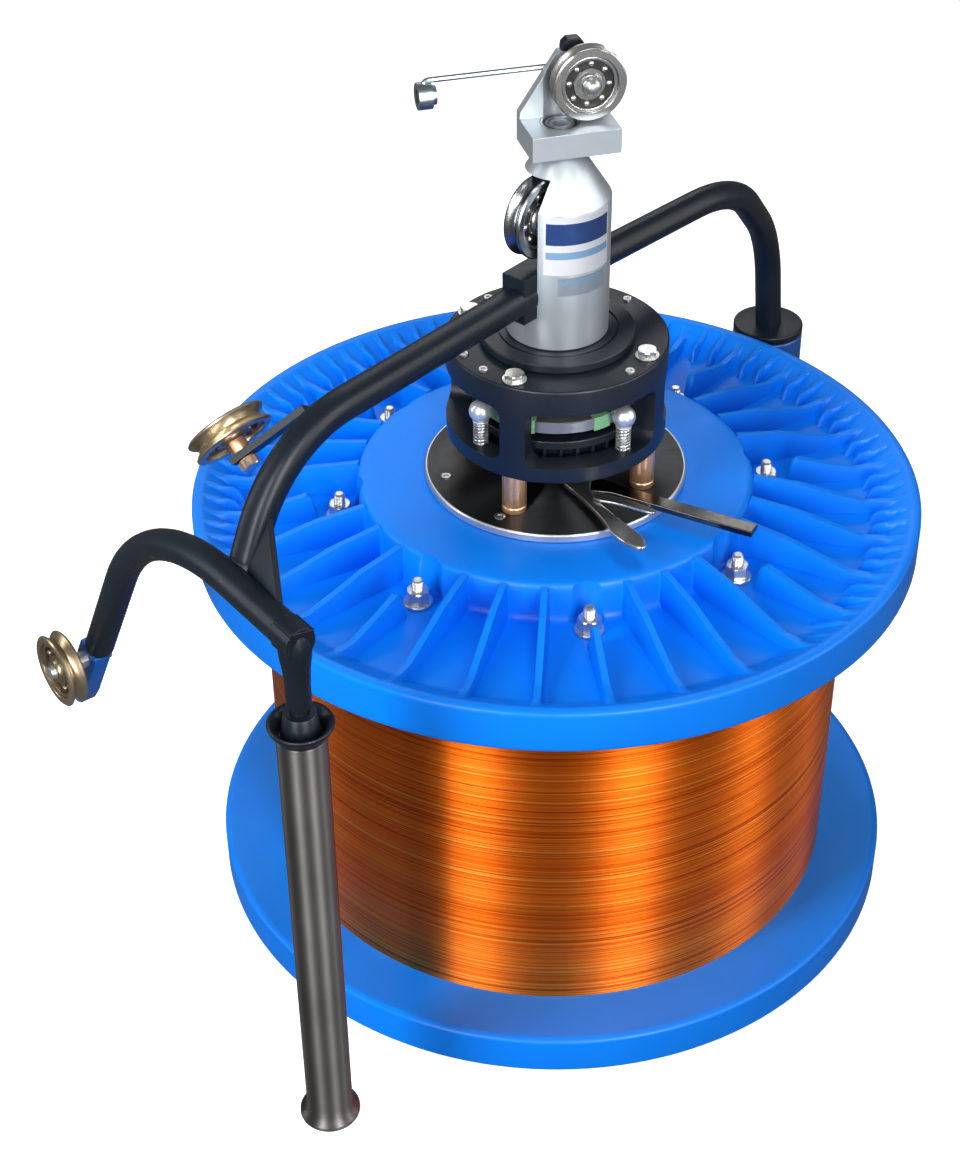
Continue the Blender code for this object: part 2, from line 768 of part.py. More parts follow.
def lower_guide(blue, zinc, plated):
    """The flat lug at the cross tube's end, with its pulley and bolt."""
    end = branch_path()
    along = (end[2] - end[1]).normalized()
    out = polar(1.0, BRANCH_AZ + 90.0)
    across = out.cross(along)
    tip = end[2] + along * GAP
    matrix = Matrix.Translation(tip)
    basis = Matrix((across, out, along)).transposed().to_4x4()
    lug = box("guide_lug", (-0.010, 0.010), (-0.004, 0.004), (0.0, LUG_LENGTH), blue, matrix @ basis)
    centre = tip + along * 0.014
    hole = rod("hole", centre - out * 0.02, centre + out * 0.02, HOLE_R, 12)
    cut(lug, hole)
    hub = centre + out * GUIDE_HUB_OUT
    at = Matrix.Translation(centre) @ turned(out)
    pin_profile = [
        (0.0, -0.0100),
        (0.0070, -0.0100),
        (0.0070, -0.0045),
        (PIN_R, -0.0045),
        (PIN_R, 0.0045),
        (0.0070, 0.0045),
        (0.0070, GUIDE_HUB_OUT - 0.0065),
        (PIN_R, GUIDE_HUB_OUT - 0.0065),
        (PIN_R, GUIDE_HUB_OUT + 0.0065),
        (0.0062, GUIDE_HUB_OUT + 0.0065),
        (0.0050, GUIDE_HUB_OUT + 0.0105),
        (0.0, GUIDE_HUB_OUT + 0.0120),
    ]
    revolve("guide_bolt", pin_profile, 12, zinc, at)
    pulley("guide_pulley", PULLEY_R, PULLEY_W, plated, Matrix.Translation(hub) @ turned(out))


def pulley(name, radius, width, finish, matrix):
    """A grooved wheel with a recess on both sides, spinning about local Z."""
    half = 0.5 * width
    groove = radius * 0.76
    profile = [
        (HOLE_R, -half + 0.001),
        (0.0190, -half + 0.001),
        (0.0200, -half),
        (radius, -half),
        (radius, -half + 0.002),
        (groove, 0.0),
        (radius, half - 0.002),
        (radius, half),
        (0.0200, half),
        (0.0190, half - 0.001),
        (HOLE_R, half - 0.001),
    ]
    return revolve(name, profile, 20, finish, matrix)


def mid_guide(black, zinc, plated):
    """The flat bracket half way down the left arm, with its pulley tilted to the wire."""
    root = MID_ROOT
    tip = MID_TIP
    along = (tip - root).normalized()
    out = MID_OUT.normalized()
    along = (along - out * along.dot(out)).normalized()
    across = out.cross(along)
    basis = Matrix((across, out, along)).transposed().to_4x4()
    at = Matrix.Translation(root) @ basis
    reach = (0.0195, (tip - root).length + 0.009)
    bracket = box("mid_bracket", (-0.008, 0.008), (-0.0025, 0.0025), reach, black, at)
    hole = rod("hole", tip - out * 0.02, tip + out * 0.02, HOLE_R, 12)
    cut(bracket, hole)
    at = Matrix.Translation(tip) @ turned(out)
    pin_profile = [
        (0.0, -0.0090),
        (0.0070, -0.0090),
        (0.0070, -0.0028),
        (PIN_R, -0.0028),
        (PIN_R, 0.0028),
        (0.0070, 0.0028),
        (0.0070, MID_HUB_OUT - 0.0065),
        (PIN_R, MID_HUB_OUT - 0.0065),
        (PIN_R, MID_HUB_OUT + 0.0065),
        (0.0062, MID_HUB_OUT + 0.0065),
        (0.0050, MID_HUB_OUT + 0.0105),
        (0.0, MID_HUB_OUT + 0.0120),
    ]
    revolve("mid_bolt", pin_profile, 12, zinc, at)
    hub = tip + out * MID_HUB_OUT
    pulley("mid_pulley", PULLEY_R, PULLEY_W, plated, Matrix.Translation(hub) @ turned(out))


def guide_roller(steel, black):
    """The long roller that the wire comes off against, and the bearing collar in its top."""
    z0, z1 = ROLLER_Z
    inner = ROLLER_R - 0.0025
    profile = [
        (inner, z0),
        (ROLLER_FLANGE_R, z0),
        (ROLLER_FLANGE_R, z0 + 0.003),
        (ROLLER_R, z0 + 0.009),
        (ROLLER_R, z1 - 0.009),
        (ROLLER_FLANGE_R, z1 - 0.003),
        (ROLLER_FLANGE_R, z1),
        (ROLLER_FLANGE_R - 0.003, z1),
        (inner, z1 - 0.008),
    ]
    at = Matrix.Translation(ROLLER_POS)
    revolve("guide_roller", profile, 20, steel, at)
    outer = inner - GAP
    profile = [
        (0.0063, z1 - 0.018),
        (outer, z1 - 0.018),
        (outer, z1 + 0.001),
        (0.0110, z1 + 0.001),
        (0.0110, z1 + 0.008),
        (0.0063, z1 + 0.008),
    ]
    revolve("roller_collar", profile, 16, black, at)


def right_arm(black, steel):
    """The right arm, bent down behind the spool to the counterweight."""
    foot = Vector((WEIGHT_POS.x, WEIGHT_POS.y, WEIGHT_CAP_Z[1] - 0.003))
    elbow = Vector((WEIGHT_POS.x, WEIGHT_POS.y, 0.0)).normalized() * 0.3064
    corners = [
        plane_point(RIGHT_AZ, 3.0 * GAP - ARM_BLOCK_X[0], BAR_Z - 0.003, polar(-0.003, LEFT_AZ + 90.0)),
        plane_point(RIGHT_AZ, 0.2134, BAR_Z - 0.006),
        Vector((elbow.x, elbow.y, 0.4415)),
        foot,
    ]
    path = rounded_path(corners, 0.070, 6)
    arm = sweep("arm_right", path, TUBE_R, 12, black)
    at = Matrix.Translation(WEIGHT_POS)
    z0, z1 = WEIGHT_CAP_Z
    cut(arm, box("level", (-0.03, 0.03), (-0.03, 0.03), (z0, z1 + GAP), None, at))
    profile = [(0.0, z0), (WEIGHT_R, z0), (WEIGHT_R, z1), (0.0, z1)]
    revolve("counterweight_cap", profile, 28, black, at)
    z0, z1 = WEIGHT_Z
    profile = [(0.0, z0), (WEIGHT_R - 0.002, z0), (WEIGHT_R, z0 + 0.002), (WEIGHT_R, z1), (0.0, z1)]
    revolve("counterweight", profile, 28, steel, at)


# ---------------------------------------------------------------- head
def head(aluminium, steel, dark, plated):
    """The swivelling head: an L bracket with the top pulley, its bearing, a guide rod and a keeper."""
    frame = Matrix.Rotation(math.radians(HEAD_AZ), 4, "Z")
    block = box("head_bracket", HEAD_BLOCK_X, HEAD_BLOCK_Y, HEAD_BLOCK_Z, aluminium, frame)
    plate_outline = [
        (HEAD_BLOCK_X[0], HEAD_BLOCK_Z[0] + 0.001),
        (HEAD_BLOCK_X[1], HEAD_BLOCK_Z[0] + 0.001),
        (HEAD_BLOCK_X[1], 0.662),
        (0.026, HEAD_PLATE_TOP),
        (0.002, HEAD_PLATE_TOP),
        (HEAD_BLOCK_X[0], 0.660),
    ]
    upright = frame @ Matrix(((1, 0, 0, 0), (0, 0, -1, 0), (0, 1, 0, 0), (0, 0, 0, 1)))
    plate = prism("plate", plate_outline, -HEAD_PLATE_Y[1], -HEAD_PLATE_Y[0], None, upright)
    join(block, plate)
    seat_z = HEAD_BLOCK_Z[1] - BEARING_T - GAP
    seat = prism("seat", circle(BEARING_R + GAP, 24), seat_z, 0.70)
    passage = prism("passage", circle(SPIGOT_R + 0.0008, 20), 0.60, 0.70)
    cut(block, seat)
    cut(block, passage)
    centre = TOP_PULLEY_POS
    pin = Vector((centre.x, 0.0, centre.z))
    pin_at = frame @ Matrix.Translation(pin) @ turned(Vector((0.0, -1.0, 0.0)))
    hole = prism("hole", circle(HOLE_R, 12), -0.03, 0.0, None, pin_at)
    cut(block, hole)
    top = HEAD_BLOCK_Z[1]
    low = top - BEARING_T
    profile = [
        (SPIGOT_R + GAP, low),
        (BEARING_R, low),
        (BEARING_R, top),
        (SPIGOT_R + GAP, top),
    ]
    revolve("head_bearing", profile, 24, steel)
    half = 0.5 * TOP_PULLEY_W
    pin_profile = [
        (0.0, -0.0250),
        (0.0065, -0.0250),
        (0.0065, -HEAD_PLATE_Y[1] - GAP),
        (PIN_R, -HEAD_PLATE_Y[1] - GAP),
        (PIN_R, -HEAD_PLATE_Y[0] + GAP),
        (0.0070, -HEAD_PLATE_Y[0] + GAP),
        (0.0070, -centre.y - half - GAP),
        (PIN_R, -centre.y - half - GAP),
        (PIN_R, -centre.y + half + GAP),
        (0.0065, -centre.y + half + GAP),
        (0.0060, -centre.y + half + 0.0040),
        (0.0035, -centre.y + half + 0.0065),
        (0.0, -centre.y + half + 0.0072),
    ]
    revolve("top_bolt", pin_profile, 12, steel, pin_at)
    at = frame @ Matrix.Translation(centre) @ turned(Vector((0.0, -1.0, 0.0)))
    pulley("top_pulley", TOP_PULLEY_R, TOP_PULLEY_W, plated, at)
    rod_y = HEAD_PLATE_Y[1] + GAP + ROD_R
    path = rounded_path(
        [
            Vector((0.0105, rod_y, ROD_Z)),
            Vector((-0.0915, rod_y, ROD_Z)),
            Vector((-0.0915, rod_y, EYELET_Z + 0.007)),
        ],
        0.004,
        3,
    )
    guide = sweep("guide_rod", path, ROD_R, 8, steel, frame)
    at = frame @ Matrix.Translation(Vector((0.0, rod_y, EYELET_Z))) @ turned(Vector((1.0, 0.0, 0.0)))
    x0, x1 = EYELET_X
    profile = [
        (EYELET_BORE_R, x0),
        (EYELET_R, x0),
        (EYELET_R, x1),
        (0.0068, x1),
        (0.0068, x1 + 0.003),
        (EYELET_BORE_R, x1 + 0.003),
    ]
    eyelet = revolve("eyelet", profile, 16, None, at)
    join(guide, eyelet)
    foot = HEAD_PLATE_TOP + GAP
    dome = [(0.004, foot), (0.020, foot), (0.0195, foot + 0.005), (0.016, KEEPER_TOP)]
    dome += [(0.008, KEEPER_TOP), (0.0045, foot + 0.005)]
    prism("wire_keeper", dome, -HEAD_PLATE_Y[1], -HEAD_PLATE_Y[0] + 0.001, dark, upright)


def stand_on_origin():
    """Move everything so the origin is under the middle of the footprint."""
    for obj in bpy.data.objects:
        obj.location += AXIS


def main():
    clear_scene()
    blue = material("spool_blue", (0.0, 0.19, 0.75), 0.0, 0.35)
    copper = material("enamelled_copper", (0.85, 0.28, 0.04), 0.9, 0.35)
    black = material("satin_black", (0.012, 0.014, 0.018), 0.2, 0.45)
    steel = material("brushed_steel", (0.42, 0.42, 0.43), 1.0, 0.35)
    dark_steel = material("dark_steel", (0.13, 0.12, 0.11), 1.0, 0.35)
    zinc = material("zinc", (0.62, 0.62, 0.60), 1.0, 0.35)
    bronze = material("bronze", (0.62, 0.38, 0.22), 1.0, 0.35)
    yellow_zinc = material("yellow_zinc", (0.62, 0.52, 0.30), 1.0, 0.3)
    chrome = material("chrome", (0.7, 0.7, 0.7), 1.0, 0.15)
    aluminium = material("aluminium", (0.66, 0.68, 0.70), 1.0, 0.35)
    coated = material("lug_blue", (0.02, 0.22, 0.70), 0.0, 0.35)
    upper_flange(blue)
    lower_flange(blue)
    spool_core(blue, copper)
    tie_bolts(zinc)
    hub_plate(dark_steel)
    mandrel(steel)
    pillars(bronze, zinc)
    cage(black)
    brake_ring(black)
    adjusters(chrome, steel)
    pliers(chrome, dark_steel)
    rotor(steel, black)
    post(aluminium)
    post_bolt(steel)
    left_arm(black)
    lower_guide(coated, zinc, yellow_zinc)
    mid_guide(black, bronze, yellow_zinc)
    guide_roller(steel, black)
    right_arm(black, coated)
    radius, height = POST_PULLEY
    pulley("post_pulley", PULLEY_R, PULLEY_W, chrome, side_frame(radius, height))
    head(aluminium, steel, black, chrome)
    stand_on_origin()


main()
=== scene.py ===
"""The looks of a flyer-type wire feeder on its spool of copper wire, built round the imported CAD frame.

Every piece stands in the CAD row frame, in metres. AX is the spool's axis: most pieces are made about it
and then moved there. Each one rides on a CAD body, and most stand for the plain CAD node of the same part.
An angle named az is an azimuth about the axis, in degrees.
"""

import math

import bmesh
import bpy
from mathutils import Matrix, Vector, noise


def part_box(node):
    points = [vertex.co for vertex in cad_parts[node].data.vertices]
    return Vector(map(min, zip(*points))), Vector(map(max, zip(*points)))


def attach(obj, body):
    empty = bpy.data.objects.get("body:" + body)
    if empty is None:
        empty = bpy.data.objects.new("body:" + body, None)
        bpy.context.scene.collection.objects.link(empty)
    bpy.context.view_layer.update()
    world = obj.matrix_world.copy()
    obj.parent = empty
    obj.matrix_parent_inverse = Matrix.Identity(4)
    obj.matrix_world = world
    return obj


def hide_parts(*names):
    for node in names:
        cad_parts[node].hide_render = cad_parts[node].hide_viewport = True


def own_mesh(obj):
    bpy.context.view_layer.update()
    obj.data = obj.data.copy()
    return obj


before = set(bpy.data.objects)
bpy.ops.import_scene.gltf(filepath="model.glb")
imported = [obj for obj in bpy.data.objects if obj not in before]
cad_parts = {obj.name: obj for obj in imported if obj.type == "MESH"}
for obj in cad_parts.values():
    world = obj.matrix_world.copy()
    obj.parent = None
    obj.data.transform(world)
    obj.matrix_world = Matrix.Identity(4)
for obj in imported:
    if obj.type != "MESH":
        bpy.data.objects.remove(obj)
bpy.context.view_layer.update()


# ---------------------------------------------------------------- places taken from the frame
def middle_of(node):
    low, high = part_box(node)
    return (low + high) / 2.0


def heights(node):
    low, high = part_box(node)
    return low.z, high.z


AX = middle_of("rotor_cap")
AX.z = 0.0
ABOUT = Matrix.Translation(AX)
PLATE_Z, PLATE_TOP = heights("hub_plate")
CAGE_Z, CAGE_TOP = heights("brake_cage")

# ---------------------------------------------------------------- sizes shared by several pieces
SPOOL_H = 0.358
FLANGE_R = 0.280
SPOOL_BORE_R = 0.036
BARREL_R = 0.1825
RIBS = 32
BOLTS = 8
BOLT_AZ = -81.0
BOLT_R = 0.167
PILLAR_R = 0.072
PILLAR_AZ = (-114.5, -24.5, 65.5, 155.5)
WINDOW_FROM_PILLAR = 47.2
ADJUSTER_R = 0.074
ADJUSTER_AZ = (-138.0, -48.0, 42.0, 132.0)
M8_FLATS = 0.0130
DRUM_R = 0.083
CAP_Z = 0.4883
POST_R = 0.0375
ARM_TUBE_R = 0.011
LEFT_AZ = -128.2
RIGHT_AZ = 50.0
BRANCH_AZ = 129.0
HEAD_AZ = 17.0
BAR_Z = 0.536
BRANCH_Z = 0.4587
ROLLER = Vector((-0.1610, -0.3293, 0.0))
WEIGHT = Vector((0.1839, 0.2616, 0.0))
MID_AXIS = Vector((-0.570767, 0.537463, 0.620773))
UP = Vector((0.0, 0.0, 1.0))


# ---------------------------------------------------------------- mesh helpers
def polar(radius, az, z=0.0):
    angle = math.radians(az)
    return Vector((radius * math.cos(angle), radius * math.sin(angle), z))


def step(low, high, x):
    """0 below low, 1 above high, and a soft rise between."""
    t = min(max((x - low) / (high - low), 0.0), 1.0)
    return t * t * (3.0 - 2.0 * t)


def turned(axis):
    """The rotation that takes +Z onto an axis."""
    return UP.rotation_difference(Vector(axis)).to_matrix().to_4x4()


def spun(az):
    return Matrix.Rotation(math.radians(az), 4, "Z")


def beside(radius, az):
    """The place at a radius and azimuth from the spool's axis."""
    return ABOUT @ Matrix.Translation(polar(radius, az))


class Shape:
    """Closed solids gathered into one mesh, each with its own material number."""

    def __init__(self):
        self.verts = []
        self.faces = []
        self.kinds = []

    def put(self, solid, kind=0, matrix=None):
        verts, faces = solid
        base = len(self.verts)
        self.verts += [matrix @ Vector(v) if matrix is not None else Vector(v) for v in verts]
        self.faces += [[base + i for i in face] for face in faces]
        self.kinds += [kind] * len(faces)
        return self


def rod(radius, low, high):
    """The (r, z) profile of a solid cylinder."""
    return [(0.0, low), (radius, low), (radius, high), (0.0, high)]


def ring(inner, outer, low, high):
    """The (r, z) profile of a flat ring."""
    return [(inner, low), (outer, low), (outer, high), (inner, high)]


def lathe(profile, segments=64):
    """A closed (r, z) profile turned about Z; points on the axis are single."""
    verts = []
    rings = []
    for r, z in profile:
        if r < 1e-7:
            rings.append([len(verts)] * segments)
            verts.append(Vector((0.0, 0.0, z)))
            continue
        rings.append(list(range(len(verts), len(verts) + segments)))
        verts += [polar(r, 360.0 * k / segments, z) for k in range(segments)]
    faces = []
    for low, high in zip(rings, rings[1:] + rings[:1]):
        if low[0] == low[1] and high[0] == high[1]:
            continue
        for k in range(segments):
            n = (k + 1) % segments
            faces.append(list(dict.fromkeys((low[k], low[n], high[n], high[k]))))
    return verts, faces


def rounded(profile, radius, steps=3):
    """The same closed (r, z) profile with its corners off the axis rounded."""
    made = []
    count = len(profile)
    for k, (r, z) in enumerate(profile):
        here = Vector((r, z))
        before = Vector(profile[k - 1]) - here
        after = Vector(profile[(k + 1) % count]) - here
        if r < 1e-7 or before.length < 1e-7 or after.length < 1e-7:
            made.append((r, z))
            continue
        reach = min(radius, before.length * 0.45, after.length * 0.45)
        first = here + before.normalized() * reach
        last = here + after.normalized() * reach
        for j in range(steps + 1):
            t = j / steps
            point = first * (1 - t) ** 2 + here * 2 * t * (1 - t) + last * t**2
            made.append((max(point.x, 0.0), point.y))
    return made


def joined(low, high):
    """Two matching outlines joined into a closed solid."""
    count = len(low)
    faces = [list(range(count)), list(range(count, 2 * count))]
    faces += [[k, (k + 1) % count, count + (k + 1) % count, count + k] for k in range(count)]
    return low + high, faces


def prism(outline, z0, z1):
    """A flat outline extruded along Z."""
    return joined([Vector((p[0], p[1], z0)) for p in outline], [Vector((p[0], p[1], z1)) for p in outline])


def block(x, y, z):
    return prism([(x[0], y[0]), (x[1], y[0]), (x[1], y[1]), (x[0], y[1])], z[0], z[1])


def plate(corners, thickness):
    """A flat plate with its middle plane through a polygon's corners."""
    offset = (corners[1] - corners[0]).cross(corners[2] - corners[0]).normalized() * 0.5 * thickness
    return joined([p - offset for p in corners], [p + offset for p in corners])


def arc_band(r0, r1, az0, az1, z0, z1, steps=24):
    """A curved slab between two radii, azimuths and heights."""
    outline = [polar(r1, az0 + (az1 - az0) * k / steps) for k in range(steps + 1)]
    outline += [polar(r0, az1 + (az0 - az1) * k / steps) for k in range(steps + 1)]
    return prism(outline, z0, z1)


def rounded_path(corners, radius, steps):
    """A path through corners, each inner one replaced by an arc."""
    path = [corners[0]]
    for before, corner, after in zip(corners, corners[1:], corners[2:]):
        back = (before - corner).normalized()
        ahead = (after - corner).normalized()
        half = 0.5 * math.pi - 0.5 * back.angle(ahead)
        reach = radius * math.tan(half)
        centre = corner + (back + ahead).normalized() * radius / math.cos(half)
        first = corner + back * reach - centre
        last = corner + ahead * reach - centre
        axis = first.cross(last)
        for k in range(steps + 1):
            path.append(centre + Matrix.Rotation(first.angle(last) * k / steps, 3, axis) @ first)
    path.append(corners[-1])
    return path


def tube(path, radius, segments=24, power=2.0, side=None):
    """A tube along a path: power above 2 squares its section, radius is one size or one for each point."""
    verts = []
    faces = []
    radii = radius if isinstance(radius, (list, tuple)) else [radius] * len(path)
    ahead = (path[1] - path[0]).normalized()
    side = (side or ahead.orthogonal()).normalized()
    for k, point in enumerate(path):
        before = (point - path[k - 1]).normalized() if k else ahead
        after = (path[k + 1] - point).normalized() if k + 1 < len(path) else before
        ahead = (before + after).normalized()
        side = (side - ahead * side.dot(ahead)).normalized()
        across = ahead.cross(side)
        for j in range(segments):
            angle = 2.0 * math.pi * j / segments
            c, s = math.cos(angle), math.sin(angle)
            size = radii[k] / (abs(c) ** power + abs(s) ** power) ** (1.0 / power)
            verts.append(point + size * (c * side + s * across))
    for k in range(len(path) - 1):
        for j in range(segments):
            n = (j + 1) % segments
            a = k * segments
            faces.append([a + j, a + n, a + segments + n, a + segments + j])
    faces.append(list(range(segments)))
    faces.append(list(range(len(verts) - segments, len(verts))))
    return verts, faces


def ball(radius, centre=(0.0, 0.0, 0.0), segments=20, rings=12):
    turns = [math.pi * k / rings for k in range(1, rings)]
    profile = [(0.0, -radius)]
    profile += [(radius * math.sin(angle), -radius * math.cos(angle)) for angle in turns]
    profile += [(0.0, radius)]
    verts, faces = lathe(profile, segments)
    return [v + Vector(centre) for v in verts], faces


def nut(flats, z0, z1, start=0.0):
    """A hexagon with its corners chamfered at both ends."""
    sides = 24
    corner = flats / math.sqrt(3.0)
    cut = 0.55 * min(0.09 * flats, 0.3 * (z1 - z0))
    rows = ((0.895 * corner, z0), (corner, z0 + cut), (corner, z1 - cut), (0.895 * corner, z1))
    verts = []
    for limit, z in rows:
        for k in range(sides):
            az = 360.0 * k / sides
            near = az % 60.0
            flat = 0.5 * flats / math.cos(math.radians(min(near, 60.0 - near) - 30.0))
            verts.append(polar(min(flat, limit), start + az, z))
    faces = [list(range(sides)), list(range(3 * sides, 4 * sides))]
    for base in (0, sides, 2 * sides):
        for k in range(sides):
            n = (k + 1) % sides
            faces.append([base + k, base + n, base + sides + n, base + sides + k])
    return verts, faces


def socket_head(z, radius, height, socket, chamfer, depth):
    """A small screw's round head standing on a face at height z, with a dimple for its key."""
    shoulder = z + height - chamfer
    top = z + height
    return [(0.0, z - 0.001), (radius, z - 0.001), (radius, shoulder), (radius - 0.0006, top), (socket, top),
            (socket - 0.0002, top - depth), (0.0, top - depth)]


def smoothed(outline, steps=5):
    """A closed curve through an outline's points."""
    made = []
    count = len(outline)
    for k in range(count):
        a, b, c, d = (Vector(outline[(k + j) % count]) for j in (-1, 0, 1, 2))
        bend = 2 * a - 5 * b + 4 * c - d
        turn = 3 * b - a - 3 * c + d
        for j in range(steps):
            t = j / steps
            made.append(0.5 * (2 * b + (c - a) * t + bend * t**2 + turn * t**3))
    return made


# ---------------------------------------------------------------- objects
def bare(name, shape, paints, matrix=ABOUT):
    """An object with its materials, not yet on a body: its solids cleaned, their faces turned outwards."""
    if isinstance(shape, tuple):
        shape = Shape().put(shape)
    mesh = bpy.data.meshes.new(name)
    mesh.from_pydata([tuple(v) for v in shape.verts], [], shape.faces)
    for paint in paints:
        mesh.materials.append(paint)
    mesh.polygons.foreach_set("material_index", shape.kinds)
    work = bmesh.new()
    work.from_mesh(mesh)
    bmesh.ops.remove_doubles(work, verts=work.verts, dist=1e-6)
    bmesh.ops.recalc_face_normals(work, faces=work.faces)
    work.to_mesh(mesh)
    work.free()
    obj = bpy.data.objects.new(name, mesh)
    bpy.context.scene.collection.objects.link(obj)
    obj.matrix_world = matrix
    return obj


def dress(obj, body, finish, nodes=(), sharp=36.0, bevel=0.0, segments=2):
    """Smooth shading or bevels, then the body and the nodes that the piece stands for."""
    obj.data.shade_smooth()
    if bevel > 0.0:
        change = obj.modifiers.new("Edges", "BEVEL")
        change.width = bevel
        change.segments = segments
        change.limit_method = "ANGLE"
        change.angle_limit = math.radians(sharp)
        change.harden_normals = True
    else:
        obj.data.set_sharp_from_angle(angle=math.radians(sharp))
    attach(obj, body)
    if nodes:
        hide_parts(*nodes)
    return obj


def piece(name, shape, paint, body, finish, nodes=(), matrix=ABOUT, **edges):
    """One shown object from one or more materials; edges says how dress() treats its corners."""
    paints = paint if isinstance(paint, tuple) else (paint,)
    return dress(bare(name, shape, paints, matrix), body, finish, nodes, **edges)


def carve(obj, shape, matrix=ABOUT):
    """Cut closed solids out of an object and keep the result as its mesh."""
    cutter = bare("cutter", shape, (), matrix)
    change = obj.modifiers.new("Cut", "BOOLEAN")
    change.operation = "DIFFERENCE"
    change.solver = "EXACT"
    change.object = cutter
    bpy.context.view_layer.update()
    graph = bpy.context.evaluated_depsgraph_get()
    mesh = bpy.data.meshes.new_from_object(obj.evaluated_get(graph))
    obj.modifiers.clear()
    obj.data = mesh
    bpy.data.objects.remove(cutter, do_unlink=True)


def refined(node, paint, body, finish, bevel):
    """A CAD node's own shape again, its corners rounded for the eye."""
    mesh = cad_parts[node].data.copy()
    mesh.materials.clear()
    mesh.materials.append(paint)
    work = bmesh.new()
    work.from_mesh(mesh)
    bmesh.ops.remove_doubles(work, verts=work.verts, dist=2e-6)
    bmesh.ops.dissolve_limit(work, angle_limit=math.radians(2.0), verts=work.verts, edges=work.edges)
    work.to_mesh(mesh)
    work.free()
    for name in [a.name for a in mesh.attributes if a.name in ("custom_normal", "sharp_edge")]:
        mesh.attributes.remove(mesh.attributes[name])
    obj = bpy.data.objects.new(node + "_dressed", mesh)
    bpy.context.scene.collection.objects.link(obj)
    return dress(obj, body, finish, (node,), sharp=30.0, bevel=bevel)


# ---------------------------------------------------------------- materials
def nodes_of(name):
    paint = bpy.data.materials.new(name)
    paint.use_nodes = True
    tree = paint.node_tree
    return paint, tree, tree.nodes["Principled BSDF"]


def add_noise(tree, scale, detail, stretch=(1.0, 1.0, 1.0)):
    """Noise in the piece's own space, stretched by a factor on each axis."""
    place = tree.nodes.new("ShaderNodeTexCoord")
    mapping = tree.nodes.new("ShaderNodeMapping")
    mapping.inputs["Scale"].default_value = stretch
    grain = tree.nodes.new("ShaderNodeTexNoise")
    grain.inputs["Scale"].default_value = scale
    grain.inputs["Detail"].default_value = detail
    tree.links.new(place.outputs["Object"], mapping.inputs["Vector"])
    tree.links.new(mapping.outputs["Vector"], grain.inputs["Vector"])
    return grain.outputs["Fac"]


def add_ramp(tree, source, target, stops):
    """Colours by a value: each stop is a position and a colour."""
    ramp = tree.nodes.new("ShaderNodeValToRGB")
    while len(ramp.color_ramp.elements) < len(stops):
        ramp.color_ramp.elements.new(0.5)
    for element, (position, color) in zip(ramp.color_ramp.elements, stops):
        element.position = position
        element.color = (*color, 1.0)
    tree.links.new(source, ramp.inputs["Fac"])
    tree.links.new(ramp.outputs["Color"], target)


def add_range(tree, source, target, limits):
    change = tree.nodes.new("ShaderNodeMapRange")
    change.inputs["From Min"].default_value = 0.3
    change.inputs["From Max"].default_value = 0.7
    change.inputs["To Min"].default_value = limits[0]
    change.inputs["To Max"].default_value = limits[1]
    tree.links.new(source, change.inputs["Value"])
    tree.links.new(change.outputs["Result"], target)


def add_bump(tree, shader, source, strength, distance):
    bump = tree.nodes.new("ShaderNodeBump")
    bump.inputs["Strength"].default_value = strength
    bump.inputs["Distance"].default_value = distance
    tree.links.new(source, bump.inputs["Height"])
    tree.links.new(bump.outputs["Normal"], shader.inputs["Normal"])


def add_brush(tree, shader, amount):
    """A brushed look whose scratches run round the piece's own Z."""
    shader.inputs["Anisotropic"].default_value = amount
    shader.inputs["Anisotropic Rotation"].default_value = 0.25
    tangent = tree.nodes.new("ShaderNodeTangent")
    tangent.direction_type = "RADIAL"
    tangent.axis = "Z"
    tree.links.new(tangent.outputs["Tangent"], shader.inputs["Tangent"])


def finish_of(name, dark, light, rough, metal=0.0, grain=60.0, stretch=1.0, bump=0.02, depth=0.0002,
              brush=0.0, specular=0.5):
    """A finish that wanders between two colours and two roughnesses; stretch draws its grain out round Z."""
    paint, tree, shader = nodes_of(name)
    broad = add_noise(tree, grain * 0.35, 4.0)
    fine = add_noise(tree, grain * 6.0, 3.0, (1.0, 1.0, stretch))
    add_ramp(tree, broad, shader.inputs["Base Color"], ((0.32, dark), (0.68, light)))
    add_range(tree, fine, shader.inputs["Roughness"], rough)
    add_bump(tree, shader, fine, bump, depth)
    shader.inputs["Metallic"].default_value = metal
    shader.inputs["Specular IOR Level"].default_value = specular
    if brush > 0.0:
        add_brush(tree, shader, brush)
    return paint


BLUE = finish_of("spool blue plastic", (0.0, 0.188, 0.82), (0.0, 0.210, 0.90), (0.34, 0.46), grain=24.0,
                 bump=0.08, depth=0.0003, specular=0.22)
LUG_BLUE = finish_of("blue lug coat", (0.002, 0.10, 0.46), (0.004, 0.13, 0.56), (0.30, 0.42), bump=0.05)
BLACK = finish_of("satin black coat", (0.0035, 0.0075, 0.0140), (0.0055, 0.0110, 0.0190), (0.34, 0.46),
                  grain=70.0, bump=0.16, depth=0.0003, specular=0.30)
CAST = finish_of("black brake housing", (0.0040, 0.0080, 0.0150), (0.0060, 0.0115, 0.0205), (0.36, 0.46),
                 grain=80.0, bump=0.08, specular=0.42)
STEEL = finish_of("brushed steel", (0.38, 0.39, 0.40), (0.50, 0.51, 0.52), (0.28, 0.38), 1.0, grain=50.0,
                  stretch=20.0, bump=0.03)
ROLLER_STEEL = finish_of("dark brushed roller steel", (0.110, 0.108, 0.107), (0.155, 0.149, 0.145),
                         (0.46, 0.54), 1.0, grain=30.0, stretch=30.0, bump=0.06, brush=0.85)
